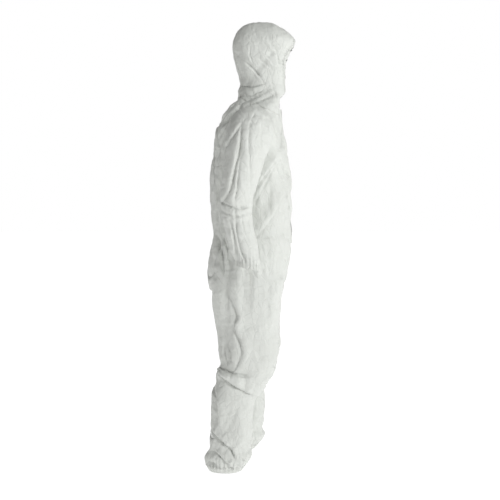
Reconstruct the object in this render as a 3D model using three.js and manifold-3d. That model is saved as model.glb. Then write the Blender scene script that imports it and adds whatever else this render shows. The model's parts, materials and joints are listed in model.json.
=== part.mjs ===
// Hooded chemical protective coverall with elasticated face, wrists, waist and ankles, a front zip
// under a storm flap, and limbs that hinge. It is shaped as worn, but it is empty.
// Millimetres, +Z up. The wearer faces -Y and the wearer's left is +X.
import * as THREE from 'three';
import { LoftGeometry } from 'three/addons/geometries/LoftGeometry.js';
import { mergeVertices } from 'three/addons/utils/BufferGeometryUtils.js';
import Module from 'manifold-3d';

const manifold = await Module();
manifold.setup();

// ---- Driving sizes. Heights start at the ankle hems. ----
const LEG_LENGTH = 740; // ankle hem to crotch
const TRUNK_LENGTH = 740; // crotch to neck
const HOOD_HEIGHT = 260; // neck to crown
const TRUNK_WIDTH = 400;
const TRUNK_DEPTH = 330;
const NECK_WIDTH = 164;
const NECK_DEPTH = 177;
const NECK_Y = -42; // the neck and head stand forward of the trunk's middle
const HOOD_WIDTH = 216;
const HOOD_DEPTH = 240;
const HOOD_Y = -57;
const SHOULDER_DROP = 75; // neck down to the top of the armhole
const SHOULDER_Y = -8;
const ARMHOLE_RADIUS = 85;
const SLEEVE_LENGTH = 500; // shoulder axis to wrist hem
const UPPER_ARM_LENGTH = 265; // shoulder axis to elbow axis
const ELBOW_DEPTH = 116;
const ELBOW_Y = 45;
const WRIST_DEPTH = 78;
const LEG_WIDTH = 192; // at the crotch
const KNEE_DEPTH = 226;
const KNEE_Z = 430;
const ANKLE_DEPTH = 120;
const STRIDE = 43; // the left hem stands this far in front of the right one
const CROTCH_GAP = 4; // between the two legs' solids

const WALL = 1.8; // the fabric's solid, with its loft
const GAP = 0.3; // clearance between touching pieces
const HINGE_GAP = 0.9; // the same at a round edge, whose flats and corners pass each other
const HEM_EXTRA = 0.6; // a folded hem is thicker than the wall by this on each face
const ELASTIC = 1.6;
const SEAM_WIDTH = 5;
const SEAM_HEIGHT = 1.3;
const FACE_HEM = 12;
const WRIST_HEM = 18;
const ANKLE_HEM = 24;
const WAIST_ELASTIC_WIDTH = 30;
const WAIST_SHARE = 0.37; // of the trunk's length above the crotch

const FACE_WIDTH = 132;
const FACE_HEIGHT = 128;
const FACE_RISE = 112; // neck to the middle of the face opening
const HOOD_PANEL = 90; // width of the hood's centre panel
const SIDE_SEAM_Y = -6;
const HINGE_MARGIN = 14; // how far a hinge's round edge stands outside the body it parts
const ELBOW_MARGIN = 48; // more where the limb folds further
const KNEE_MARGIN = 36;

const TAPE_WIDTH = 28;
const TAPE_THICK = 1;
const TEETH_WIDTH = 2.2;
const TEETH_THICK = 2.6;
const TEETH_SLOT = 1.6; // between the two rows of teeth, where the slider's web runs
const ZIP_CLEARANCE = 14; // the zip's ends to the round edges at the neck and the hips
const SLIDER_LENGTH = 14;
const SLIDER_WIDTH = 12;
const PLATE = 1;
const PULL_LENGTH = 28;
const PULL_WIDTH = 8;
const PULL_BAR = 1.2;
const FLAP_WIDTH = 60;
const FLAP_THICK = 1.6;
const FLAP_BASE = 11;
const FOLD_GAP = 2.4; // room beside the flap's hinge, so that it can fold back
const LABEL = { width: 40, height: 56, thick: 0.9 };

const AROUND_BODY = 32;
const AROUND_LEG = 20;
const AROUND_SLEEVE = 16;
const FAR = 2500;

// ---- Places worked out from the sizes ----
const CROTCH_Z = LEG_LENGTH;
const NECK_Z = CROTCH_Z + TRUNK_LENGTH;
const SHOULDER_Z = NECK_Z - SHOULDER_DROP - ARMHOLE_RADIUS;
const NECK_FRONT = NECK_Y - NECK_DEPTH / 2;
const ARMHOLE_X = TRUNK_WIDTH / 2;
const ELBOW_Z = SHOULDER_Z - UPPER_ARM_LENGTH;
const WRIST_Z = SHOULDER_Z - SLEEVE_LENGTH;
const FACE_Z = NECK_Z + FACE_RISE;
const HIP = { y: 5, z: CROTCH_Z + 40, radius: TRUNK_DEPTH / 2 + HINGE_MARGIN };
const NECK = { y: NECK_Y, z: NECK_Z + 60, radius: NECK_DEPTH / 2 + HINGE_MARGIN };
const ELBOW = { y: ELBOW_Y, z: ELBOW_Z, radius: ELBOW_DEPTH / 2 + ELBOW_MARGIN };
const KNEE = { y: 5, z: KNEE_Z, radius: KNEE_DEPTH / 2 + KNEE_MARGIN };
const NECKLINE = { back: { y: 50, z: NECK_Z - 25 }, front: { y: -105, z: NECK_Z - 100 } };

const zipBottom = onCircle(HIP, HIP.radius + ZIP_CLEARANCE, 30);
const zipTop = onCircle(NECK, NECK.radius + ZIP_CLEARANCE, -53);
const ZIP_LEAN = Math.atan2(zipTop.y - zipBottom.y, zipTop.z - zipBottom.z);
const ZIP_LENGTH = Math.hypot(zipTop.y - zipBottom.y, zipTop.z - zipBottom.z);

// ---- Small tools ----
// A point at an angle above (or below) straight ahead of a hinge's axis.
function onCircle(hinge, radius, degrees) {
	const angle = THREE.MathUtils.degToRad(degrees);
	return { y: hinge.y - radius * Math.cos(angle), z: hinge.z + radius * Math.sin(angle) };
}

function solid(geometry) {
	geometry.deleteAttribute('normal');
	geometry.deleteAttribute('uv');
	const merged = mergeVertices(geometry, 1e-3);
	const kept = [];
	for (let i = 0; i < merged.index.count; i += 3) {
		const [a, b, c] = [0, 1, 2].map((k) => merged.index.getX(i + k));
		if (a !== b && b !== c && c !== a) kept.push(a, b, c);
	}
	return new manifold.Manifold(new manifold.Mesh({
		numProp: 3,
		vertProperties: new Float32Array(merged.attributes.position.array),
		triVerts: new Uint32Array(kept),
	}));
}

function box(x0, x1, y0, y1, z0, z1) {
	const geometry = new THREE.BoxGeometry(x1 - x0, y1 - y0, z1 - z0);
	return solid(geometry.translate((x0 + x1) / 2, (y0 + y1) / 2, (z0 + z1) / 2));
}

const between = (z0, z1) => box(-FAR, FAR, -FAR, FAR, z0, z1);
const below = (z) => between(-FAR, z);
const above = (z) => between(z, FAR);
const behind = (y) => box(-FAR, FAR, y, FAR, -FAR, FAR);
const inFront = (y) => box(-FAR, FAR, -FAR, y, -FAR, FAR);
const strip = (x0, x1) => box(x0, x1, -FAR, FAR, -FAR, FAR);

// One side of the wearer: -1 is the right, +1 the left, from a distance off the middle outwards.
function sideOf(side, from = GAP / 2) {
	return side < 0 ? strip(-FAR, -from) : strip(from, FAR);
}

function hingeRound(hinge, extra = 0) {
	const radius = hinge.radius + extra;
	const geometry = new THREE.CylinderGeometry(radius, radius, 3 * TRUNK_WIDTH, 48);
	return solid(geometry.rotateZ(Math.PI / 2).translate(0, hinge.y, hinge.z));
}

// What hangs below a hinge keeps the inside of its round edge, and what holds it is cut back from it.
const hangsFrom = (shape, hinge) => shape.intersect(hingeRound(hinge).add(below(hinge.z)));
const holds = (shape, hinge) => shape.intersect(above(hinge.z)).subtract(hingeRound(hinge, HINGE_GAP));

function superellipse(share, power) {
	const angle = share * Math.PI * 2;
	const bend = (v) => Math.sign(v) * Math.abs(v) ** (2 / power);
	return [bend(Math.cos(angle)), bend(Math.sin(angle))];
}

const UP = new THREE.Vector3(0, 0, 1);
const DOWN = new THREE.Vector3(0, 0, -1);

// A tube's inside runs on past both of its ends, so that taking it away leaves them open.
function openEnds(sections, reach, first, last) {
	if (reach === 0) return sections;
	const moved = (section, way) => section.map((point) => point.clone().addScaledVector(way, reach));
	return [moved(sections[0], first), ...sections, moved(sections.at(-1), last)];
}

function loft(sections) {
	const geometry = new LoftGeometry(sections, { capStart: true, capEnd: true });
	return solid(new THREE.BufferGeometry().copy(geometry));
}

function mesh(name, shape, material) {
	const { vertProperties, triVerts } = shape.getMesh();
	const geometry = new THREE.BufferGeometry();
	geometry.setAttribute('position', new THREE.BufferAttribute(new Float32Array(vertProperties), 3));
	geometry.setIndex(new THREE.BufferAttribute(new Uint32Array(triVerts), 1));
	geometry.computeVertexNormals();
	const made = new THREE.Mesh(geometry, material);
	made.name = name;
	return made;
}

function matt(color, roughness = 0.75, metalness = 0) {
	return new THREE.MeshStandardMaterial({ color, roughness, metalness });
}

const fabric = matt(0xe6e8e4);
const hemFabric = matt(0xdfe1dc);
const seamThread = matt(0xd4d7d1, 0.85);
const elasticWeb = matt(0xf0f0ec, 0.9);
const zipTapeCloth = matt(0xe0e2dd, 0.85);
const zipPlastic = matt(0xd9dbd6, 0.45);
const sliderMetal = matt(0xb9bbb8, 0.35, 0.9);
const adhesive = matt(0xf2f1e4, 0.4);

// ---- Trunk and hood: one run of sections from the crotch to the crown ----
// Height as a share of the trunk's length, then back, front and half width as shares of its size.
const trunkRows = [
	[0, 0.495, 0.445, 0.975], [0.075, 0.51, 0.475, 0.98], [0.14, 0.49, 0.5, 0.97],
	[0.26, 0.42, 0.515, 0.925], [0.35, 0.44, 0.522, 0.92], [0.46, 0.465, 0.505, 0.94],
	[0.57, 0.458, 0.48, 0.95], [0.68, 0.43, 0.444, 0.955], [0.78, 0.395, 0.405, 0.955],
	[0.84, 0.333, 0.38, 0.94], [0.87, 0.297, 0.37, 0.92], [0.905, 0.24, 0.37, 0.85],
	[0.935, 0.175, 0.38, 0.64],
].map(([up, back, front, half]) => [
	CROTCH_Z + up * TRUNK_LENGTH, back * TRUNK_DEPTH, -front * TRUNK_DEPTH, half * TRUNK_WIDTH / 2,
]);
const neckRows = [-0.03, 0].map((up) => [
	NECK_Z + up * TRUNK_LENGTH, NECK_Y + NECK_DEPTH / 2, NECK_FRONT, NECK_WIDTH / 2,
]);
// Below the face the hood's front follows the neck's: the same shares, but millimetres out from it.
const chinRows = [[0.12, 0.385, 3.3, 0.77], [0.27, 0.433, 7.62, 0.84]].map(([up, back, out, half]) => [
	NECK_Z + up * HOOD_HEIGHT, HOOD_Y + back * HOOD_DEPTH, NECK_FRONT - out, half * HOOD_WIDTH / 2,
]);
// Height as a share of the hood's height, then back, front and half width as shares of its size.
const hoodRows = [
	[0.41, 0.475, 0.4, 0.93], [0.55, 0.5, 0.485, 0.98], [0.65, 0.5, 0.5, 1], [0.75, 0.478, 0.46, 0.97],
	[0.85, 0.43, 0.36, 0.85], [0.93, 0.34, 0.24, 0.63], [0.98, 0.23, 0.13, 0.37],
	[1, 0.12, 0.03, 0.14],
].map(([up, back, front, half]) => [
	NECK_Z + up * HOOD_HEIGHT, HOOD_Y + back * HOOD_DEPTH, HOOD_Y - front * HOOD_DEPTH,
	half * HOOD_WIDTH / 2,
]);
const bodyRows = [...trunkRows, ...neckRows, ...chinRows, ...hoodRows];
const BODY_POWER = 2.6;
const VALLEY = { flat: 40, full: 95 }; // half widths where the front turns from the zip to the chest

// The front runs straight up the middle, where the zip lies, and swells on both sides of it.
function frontAlongZip(x, y, z) {
	const zipY = zipBottom.y + (z - zipBottom.z) * Math.tan(ZIP_LEAN);
	const swell = THREE.MathUtils.smoothstep(Math.abs(x), VALLEY.flat, VALLEY.full);
	const fade = THREE.MathUtils.smoothstep(z, zipTop.z, NECK_Z + 20);
	return zipY > y ? THREE.MathUtils.lerp(zipY, y, Math.max(swell, fade)) : y;
}

function bodySection([z, back, front, half], inset) {
	const middle = (back + front) / 2;
	const depth = (back - front) / 2 - inset;
	return Array.from({ length: AROUND_BODY }, (_, i) => {
		const [across, along] = superellipse(i / AROUND_BODY, BODY_POWER);
		const x = across * (half - inset);
		const y = middle + along * depth;
		return new THREE.Vector3(x, along < 0 ? frontAlongZip(x, y - inset, z) + inset : y, z);
	});
}

function bodySolid(inset) {
	const sections = bodyRows.map((row) => bodySection(row, inset));
	for (const point of sections[0]) point.z += inset;
	for (const point of sections.at(-1)) point.z -= inset;
	return loft(sections);
}

function armholeStub(side, inset, reach) {
	const radius = ARMHOLE_RADIUS - inset;
	const geometry = new THREE.CylinderGeometry(radius, radius, reach - ARMHOLE_X * 0.6, 2 * AROUND_SLEEVE);
	const middle = side * (reach + ARMHOLE_X * 0.6) / 2;
	return solid(geometry.rotateZ(Math.PI / 2).translate(middle, SHOULDER_Y, SHOULDER_Z));
}

function trunkSolid(inset, reach = ARMHOLE_X) {
	return bodySolid(inset).add(armholeStub(-1, inset, reach)).add(armholeStub(1, inset, reach));
}

const trunkInside = trunkSolid(WALL, ARMHOLE_X + 10);

// A layer lying on the outside of the trunk and hood, for seams.
function outerLayer(make, thick) {
	return make(-GAP - thick).subtract(make(-GAP));
}

// A layer lying against the inside of a wall, for elastics.
function innerLayer(make, wall, thick) {
	return make(wall + GAP).subtract(make(wall + GAP + thick));
}

function necklineHalf(shift) {
	const { back, front } = NECKLINE;
	const lean = Math.atan2(back.z - front.z, back.y - front.y);
	const geometry = new THREE.BoxGeometry(FAR, FAR, FAR).translate(0, 0, FAR / 2 + shift);
	return solid(geometry.rotateX(lean).translate(0, front.y, front.z));
}

const onZip = (x0, x1, y0, y1, z0, z1) => new THREE.BoxGeometry(x1 - x0, y1 - y0, z1 - z0)
	.translate((x0 + x1) / 2, (y0 + y1) / 2, (z0 + z1) / 2)
	.rotateX(-ZIP_LEAN).translate(0, zipBottom.y, zipBottom.z);

function torsoNodes() {
	const half = TEETH_SLOT / 2 + TEETH_WIDTH + GAP + TAPE_WIDTH;
	const zipSlot = solid(onZip(-half - GAP, half + GAP, -60, 30, -GAP, ZIP_LENGTH + GAP));
	const cover = FLAP_WIDTH / 2 + FOLD_GAP + FLAP_BASE + GAP;
	const zipFront = solid(onZip(-cover, cover, -60, 60, 0, ZIP_LENGTH + 60));
	const shell = holds(trunkSolid(0).subtract(trunkInside), HIP)
		.subtract(hingeRound(NECK, HINGE_GAP)).intersect(below(NECK.z));
	const panels = shell.subtract(necklineHalf(-GAP / 2)).subtract(zipSlot);
	const front = panels.intersect(inFront(SIDE_SEAM_Y - GAP / 2));
	const back = panels.intersect(behind(SIDE_SEAM_Y + GAP / 2));
	const outside = outerLayer(trunkSolid, SEAM_HEIGHT).intersect(strip(-ARMHOLE_X, ARMHOLE_X))
		.subtract(hingeRound(HIP, HINGE_GAP)).intersect(above(HIP.z));
	const underNeckSeam = outside.subtract(necklineHalf(-SEAM_WIDTH / 2 - GAP));
	const sideStrip = underNeckSeam.intersect(behind(SIDE_SEAM_Y - SEAM_WIDTH / 2))
		.intersect(inFront(SIDE_SEAM_Y + SEAM_WIDTH / 2));
	const backStrip = underNeckSeam.intersect(behind(SIDE_SEAM_Y + SEAM_WIDTH))
		.intersect(strip(-SEAM_WIDTH / 2, SEAM_WIDTH / 2));
	const seamEnd = ARMHOLE_X - SEAM_WIDTH - 2;
	const waistZ = CROTCH_Z + WAIST_SHARE * TRUNK_LENGTH;
	const waist = innerLayer(bodySolid, WALL, ELASTIC)
		.intersect(between(waistZ - WAIST_ELASTIC_WIDTH / 2, waistZ + WAIST_ELASTIC_WIDTH / 2));
	const group = new THREE.Group().add(
		mesh('collar', shell.intersect(necklineHalf(GAP / 2)).subtract(zipSlot), fabric),
		mesh('back_seam', backStrip, seamThread),
		mesh('waist_elastic', waist.intersect(behind(SIDE_SEAM_Y + 15)), elasticWeb),
		mesh('neck_seam', outside.intersect(necklineHalf(-SEAM_WIDTH / 2)).intersect(above(CROTCH_Z + 400))
			.subtract(necklineHalf(SEAM_WIDTH / 2)).subtract(zipFront), seamThread),
		mesh('care_label', box(-LABEL.width / 2, LABEL.width / 2, labelY() - LABEL.thick, labelY(),
			labelTop() - LABEL.height, labelTop()), elasticWeb),
	);
	for (const [side, name] of [[-1, 'right'], [1, 'left']]) {
		const ring = armholeStub(side, -GAP - SEAM_HEIGHT, ARMHOLE_X - GAP)
			.subtract(armholeStub(side, -GAP, ARMHOLE_X))
			.intersect(side < 0 ? strip(-FAR, -ARMHOLE_X + SEAM_WIDTH) : strip(ARMHOLE_X - SEAM_WIDTH, FAR));
		const ownStrip = sideStrip.intersect(sideOf(side));
		const underArm = ownStrip.intersect(below(SHOULDER_Z - ARMHOLE_RADIUS - SEAM_WIDTH));
		const overShoulder = ownStrip.intersect(strip(-seamEnd, seamEnd)).intersect(above(SHOULDER_Z));
		group.add(
			mesh(`front_panel_${name}`, front.intersect(sideOf(side)), fabric),
			mesh(`back_panel_${name}`, back.intersect(sideOf(side)), fabric),
			mesh(`side_seam_${name}`, underArm, seamThread),
			mesh(`shoulder_seam_${name}`, overShoulder, seamThread),
			mesh(`armhole_seam_${name}`, ring, seamThread),
		);
	}
	return group;
}

// The label hangs inside the back, below the neckline.
function labelTop() {
	return trunkRows.at(-3)[0];
}

function labelY() {
	return trunkRows.at(-3)[1] - WALL - ELASTIC - 4;
}

// ---- Hood ----
function faceOpening(grow, back = HOOD_Y) {
	const geometry = new THREE.CylinderGeometry(1, 1, FAR, 40).translate(0, back - FAR / 2, 0);
	return solid(geometry.scale(FACE_WIDTH / 2 + grow, 1, FACE_HEIGHT / 2 + grow).translate(0, 0, FACE_Z));
}

function hoodNodes() {
	const region = hingeRound(NECK).add(above(NECK.z)).intersect(above(CROTCH_Z + TRUNK_LENGTH / 2));
	const shell = bodySolid(0).subtract(bodySolid(WALL)).intersect(region);
	const cloth = shell.subtract(faceOpening(FACE_HEM + GAP));
	const chinBox = box(-HOOD_PANEL / 2, HOOD_PANEL / 2, -FAR, HOOD_Y, -FAR, FACE_Z);
	const middle = cloth.intersect(strip(-HOOD_PANEL / 2, HOOD_PANEL / 2));
	const hemWall = bodySolid(-HEM_EXTRA).subtract(bodySolid(WALL + HEM_EXTRA));
	const band = innerLayer(bodySolid, WALL + HEM_EXTRA, ELASTIC);
	const group = new THREE.Group().add(
		mesh('hood_centre_panel', middle.subtract(box(-FAR, FAR, -FAR, HOOD_Y + GAP, -FAR, FACE_Z)), fabric),
		mesh('chin_panel', middle.intersect(chinBox), fabric),
		mesh('face_hem', hemWall.intersect(faceOpening(FACE_HEM)).subtract(faceOpening(0)), hemFabric),
		mesh('face_elastic', band.intersect(faceOpening(FACE_HEM - 2)).subtract(faceOpening(3)), elasticWeb),
	);
	for (const [side, name] of [[-1, 'right'], [1, 'left']]) {
		const seam = outerLayer(bodySolid, SEAM_HEIGHT).intersect(region)
			.subtract(faceOpening(FACE_HEM + GAP + HEM_EXTRA + 1)).subtract(box(-FAR, FAR, -FAR, HOOD_Y, -FAR, FACE_Z))
			.intersect(side < 0 ? strip(-HOOD_PANEL / 2 - SEAM_WIDTH / 2, -HOOD_PANEL / 2 + SEAM_WIDTH / 2)
				: strip(HOOD_PANEL / 2 - SEAM_WIDTH / 2, HOOD_PANEL / 2 + SEAM_WIDTH / 2));
		group.add(
			mesh(`hood_panel_${name}`, cloth.intersect(sideOf(side, HOOD_PANEL / 2 + GAP)), fabric),
			mesh(`hood_seam_${name}`, seam, seamThread),
		);
	}
	return group;
}

// ---- Sleeves: each section stands across a line from its inner to its outer side ----
// Inner x and z, outer x and z, front-to-back middle and half depth. x starts at the armhole.
function sleeveRows() {
	const drop = (share) => SHOULDER_Z - share * UPPER_ARM_LENGTH;
	const fore = (share) => THREE.MathUtils.lerp(ELBOW_Z, WRIST_Z, share);
	const elbow = ELBOW_DEPTH / 2;
	const wrist = WRIST_DEPTH / 2;
	return [
		[0.4, SHOULDER_Z - ARMHOLE_RADIUS, 0.4, SHOULDER_Z + ARMHOLE_RADIUS, SHOULDER_Y, ARMHOLE_RADIUS],
		[4, drop(0.4), 42, SHOULDER_Z + 0.88 * ARMHOLE_RADIUS, -4, ARMHOLE_RADIUS - 1],
		[7, drop(0.5), 86, SHOULDER_Z + 0.46 * ARMHOLE_RADIUS, 4, ARMHOLE_RADIUS - 5],
		[11, drop(0.62), 118, drop(0.08), 14, ARMHOLE_RADIUS - 11],
		[16, drop(0.74), 138, drop(0.38), 25, elbow + 10],
		[23, drop(0.88), 145, drop(0.72), 37, elbow + 4],
		[29, ELBOW_Z, 29 + ELBOW_DEPTH - 2, ELBOW_Z, ELBOW_Y, elbow],
		[34, fore(0.35), 34 + ELBOW_DEPTH - 10, fore(0.35), 27, elbow - 5],
		[41, fore(0.7), 41 + ELBOW_DEPTH - 22, fore(0.7), 11, elbow - 11],
		[48, fore(0.9), 48 + WRIST_DEPTH + 6, fore(0.9), 5, wrist + 3],
		[52, WRIST_Z, 52 + WRIST_DEPTH, WRIST_Z, 3, wrist],
	];
}

function sleeveSolid(side, inset, open = 0) {
	const sections = sleeveRows().map(([xIn, zIn, xOut, zOut, y, depth]) => {
		const inner = new THREE.Vector3(side * (ARMHOLE_X + xIn), y, zIn);
		const outer = new THREE.Vector3(side * (ARMHOLE_X + xOut), y, zOut);
		const middle = inner.clone().lerp(outer, 0.5);
		const reach = outer.clone().sub(middle);
		reach.setLength(reach.length() - inset);
		return Array.from({ length: AROUND_SLEEVE }, (_, k) => {
			const [across, along] = superellipse(-side * k / AROUND_SLEEVE, 2);
			return middle.clone().addScaledVector(reach, across)
				.add(new THREE.Vector3(0, along * (depth - inset), 0));
		});
	});
	return loft(openEnds(sections, open, new THREE.Vector3(-side, 0, 0), DOWN));
}

function sleeveNodes(side, name) {
	const inside = sleeveSolid(side, WALL, 10);
	const cloth = sleeveSolid(side, 0).subtract(inside);
	const hemTop = WRIST_Z + WRIST_HEM;
	const hemWall = sleeveSolid(side, -HEM_EXTRA).subtract(sleeveSolid(side, WALL + HEM_EXTRA, 10));
	const band = sleeveSolid(side, WALL + HEM_EXTRA + GAP)
		.subtract(sleeveSolid(side, WALL + HEM_EXTRA + GAP + ELASTIC, 10));
	return new THREE.Group().add(
		mesh(`sleeve_upper_${name}`, holds(cloth, ELBOW), fabric),
		mesh(`sleeve_lower_${name}`, hangsFrom(cloth, ELBOW).intersect(above(hemTop + GAP)), fabric),
		mesh(`wrist_hem_${name}`, hemWall.intersect(below(hemTop)), hemFabric),
		mesh(`wrist_elastic_${name}`, band.intersect(between(WRIST_Z + 3, hemTop - 3)), elasticWeb),
	);
}

// ---- Legs ----
// Height, front-to-back middle, half depth, half width, distance of the middle from the centre, and
// the section's squareness.
function legRows() {
	const up = (share) => share * LEG_LENGTH;
	const knee = KNEE_DEPTH / 2;
	const ankle = ANKLE_DEPTH / 2;
	const thigh = LEG_WIDTH / 2;
	const top = CROTCH_GAP / 2 + thigh;
	return [
		[0, 93, ankle - 4, ankle - 5, top + 30, 2], [up(0.045), 92, ankle + 15, ankle + 10, top + 30, 2],
		[up(0.145), 75, ankle + 19, ankle + 13, top + 28, 2.1],
		[up(0.235), 70, ankle + 21, ankle + 13, top + 26, 2.1],
		[up(0.36), 66, ankle + 22, ankle + 14, top + 24, 2.1],
		[up(0.42), 52, knee - 23, thigh - 21, top + 20, 2.2],
		[up(0.48), 26, knee - 10, thigh - 19, top + 18, 2.2],
		[KNEE_Z - 28, 12, knee - 3, thigh - 17, top + 16, 2.2],
		[KNEE_Z + 18, 5, knee + 1, thigh - 14, top + 13, 2.2],
		[up(0.79), 10, knee + 14, thigh - 7, top + 6, 2.3],
		[up(0.912), 11, knee + 25, thigh - 2, top + 1, 2.6],
		...[0, 20].map((rise) => [CROTCH_Z + rise, 8, seatDepth(rise), thigh, top, 4]),
	];
}

// Half of the trunk's depth just above the crotch, where the legs run up into it.
function seatDepth(rise) {
	const [, back, front] = trunkRows[0];
	return (back - front) / 2 - 1 + rise / 20;
}

// The legs stand in step: the left one is in front at its hem and level with the right at the crotch.
const stepForward = (side, z) => (side > 0 ? STRIDE * Math.max(0, 1 - z / CROTCH_Z) : 0);

function legSolid(side, inset, open = 0) {
	const sections = legRows().map(([z, y, depth, half, off, power]) =>
		Array.from({ length: AROUND_LEG }, (_, k) => {
			const [across, along] = superellipse(k / AROUND_LEG, power);
			const x = side * off + across * (half - inset);
			const inTrunk = z < CROTCH_Z ? 1 : (1 - Math.abs(x / ARMHOLE_X) ** BODY_POWER) ** (1 / BODY_POWER);
			return new THREE.Vector3(x, y - stepForward(side, z) + along * inTrunk * (depth - inset), z);
		}));
	return loft(openEnds(sections, open, DOWN, UP));
}

function legNodes(side, name) {
	const knee = { ...KNEE, y: KNEE.y - stepForward(side, KNEE.z) };
	const outside = legSolid(side, 0);
	const hipPart = bodySolid(0).intersect(hingeRound(HIP)).intersect(sideOf(side, CROTCH_GAP / 2));
	const upper = outside.intersect(below(HIP.z - 1)).add(hipPart)
		.subtract(legSolid(side, WALL, 10)).subtract(bodySolid(WALL));
	const cloth = outside.subtract(legSolid(side, WALL, 10));
	const hemWall = legSolid(side, -HEM_EXTRA).subtract(legSolid(side, WALL + HEM_EXTRA, 10));
	const band = legSolid(side, WALL + HEM_EXTRA + GAP)
		.subtract(legSolid(side, WALL + HEM_EXTRA + GAP + ELASTIC, 10));
	return new THREE.Group().add(
		mesh(`leg_upper_${name}`, holds(upper, knee), fabric),
		mesh(`leg_lower_${name}`, hangsFrom(cloth, knee).intersect(above(ANKLE_HEM + GAP)), fabric),
		mesh(`ankle_hem_${name}`, hemWall.intersect(below(ANKLE_HEM)), hemFabric),
		mesh(`ankle_elastic_${name}`, band.intersect(between(4, ANKLE_HEM - 4)), elasticWeb),
	);
}

// ---- Zip, pull tab and storm flap, in a group that leans with the front. Here z runs along the
// zip from its bottom end and -y is away from the chest. ----
function block(x0, x1, y0, y1, z0, z1) {
	return box(Math.min(x0, x1), Math.max(x0, x1), y0, y1, z0, z1);
}

function zipNodes() {
	const teethIn = TEETH_SLOT / 2;
	const teethOut = teethIn + TEETH_WIDTH;
	const tapeIn = teethOut + GAP;
	const stop = 4;
	const ends = stop + 1.5;
	const group = new THREE.Group();
	for (const [side, name] of [[-1, 'right'], [1, 'left']]) {
		group.add(
			mesh(`zip_tape_${name}`, block(side * tapeIn, side * (tapeIn + TAPE_WIDTH),
				-TAPE_THICK / 2, TAPE_THICK / 2, 0, ZIP_LENGTH), zipTapeCloth),
			mesh(`zip_teeth_${name}`, block(side * teethIn, side * teethOut,
				-TEETH_THICK / 2, TEETH_THICK / 2, ends + GAP, ZIP_LENGTH - ends - GAP), zipPlastic),
			mesh(`zip_top_stop_${name}`, block(side * teethIn, side * teethOut,
				-TEETH_THICK / 2, TEETH_THICK / 2, ZIP_LENGTH - ends, ZIP_LENGTH - ends + stop), zipPlastic),
		);
	}
	group.add(mesh('zip_bottom_stop', box(-teethOut, teethOut, -TEETH_THICK / 2, TEETH_THICK / 2,
		ends - stop, ends), zipPlastic));
	return group;
}

const SLIDER_BASE = ZIP_LENGTH - 8 - SLIDER_LENGTH; // the slider's lower end, parked at the top
const plateIn = TEETH_THICK / 2 + GAP;
const plateOut = plateIn + PLATE;
const BRIDGE = { inner: 2.4, wall: 1.2, half: 1.4 };
const pullAxis = { y: -plateOut - BRIDGE.inner / 2, z: SLIDER_BASE + SLIDER_LENGTH / 2 };

function sliderNode() {
	const web = TEETH_SLOT / 2 - GAP;
	const half = SLIDER_WIDTH / 2;
	const outline = new THREE.Shape([
		[-half, -plateOut], [half, -plateOut], [half, -plateIn], [web, -plateIn], [web, plateIn],
		[half, plateIn], [half, plateOut], [-half, plateOut], [-half, plateIn], [-web, plateIn],
		[-web, -plateIn], [-half, -plateIn],
	].map(([x, y]) => new THREE.Vector2(x, y)));
	const body = new THREE.ExtrudeGeometry(outline, { depth: SLIDER_LENGTH, bevelEnabled: false });
	const out = BRIDGE.inner / 2 + BRIDGE.wall;
	const bridge = box(-BRIDGE.half, BRIDGE.half, pullAxis.y - out, -plateOut + 0.2,
		pullAxis.z - out, pullAxis.z + out);
	const eye = box(-FAR, FAR, pullAxis.y - BRIDGE.inner / 2, -plateOut,
		pullAxis.z - BRIDGE.inner / 2, pullAxis.z + BRIDGE.inner / 2);
	return mesh('zip_slider', solid(body.translate(0, 0, SLIDER_BASE)).add(bridge.subtract(eye)),
		sliderMetal);
}

function pullNode() {
	const half = PULL_WIDTH / 2;
	const thick = PULL_BAR / 2;
	const window = BRIDGE.half + 0.5;
	const plate = box(-half, half, pullAxis.y - thick, pullAxis.y + thick,
		pullAxis.z - PULL_LENGTH, pullAxis.z + thick);
	const slot = box(-window, window, -FAR, FAR, pullAxis.z - 2.4 * BRIDGE.inner, pullAxis.z - thick);
	return mesh('pull_tab', plate.subtract(slot), sliderMetal);
}

const FLAP_BACK = -plateOut - BRIDGE.inner - BRIDGE.wall - 1; // the flap's inner face
const FLAP_TOP = pullAxis.z - PULL_LENGTH - 5;
const FLAP_LOW = 4;

function flapNodes() {
	const edge = -FLAP_WIDTH / 2;
	const stuck = box(-edge - 12, -edge - 2, FLAP_BACK + GAP, FLAP_BACK + GAP + 0.6, FLAP_LOW + 6, FLAP_TOP - 6);
	return new THREE.Group().add(
		mesh('storm_flap', box(edge, -edge, FLAP_BACK - FLAP_THICK, FLAP_BACK, FLAP_LOW, FLAP_TOP), fabric),
		mesh('flap_adhesive', stuck, adhesive),
	);
}

// The strip that sews the flap's edge to the right front panel, filling the space between them.
function flapBaseNode() {
	const edge = -FLAP_WIDTH / 2 - FOLD_GAP;
	const filled = solid(onZip(edge - FLAP_BASE, edge, FLAP_BACK - FLAP_THICK, 0, FLAP_LOW, FLAP_TOP));
	const tape = solid(onZip(-FLAP_WIDTH, FLAP_WIDTH, -TAPE_THICK / 2 - GAP, 30, -20, ZIP_LENGTH + 20));
	return mesh('flap_base', filled.subtract(bodySolid(-GAP)).subtract(tape), fabric);
}

const placket = new THREE.Group().add(zipNodes(), sliderNode(), pullNode(), flapNodes());
placket.position.set(0, zipBottom.y, zipBottom.z);
placket.rotation.x = -ZIP_LEAN;

const suit = new THREE.Group().add(torsoNodes(), hoodNodes(), placket, flapBaseNode());
for (const [side, name] of [[-1, 'right'], [1, 'left']]) {
	suit.add(sleeveNodes(side, name), legNodes(side, name));
}
suit.position.z = -SHOULDER_Z; // the origin is between the wearer's shoulders

export default suit;
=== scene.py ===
import json
import math
import bmesh
import bpy
import numpy as np
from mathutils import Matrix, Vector, noise


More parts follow.
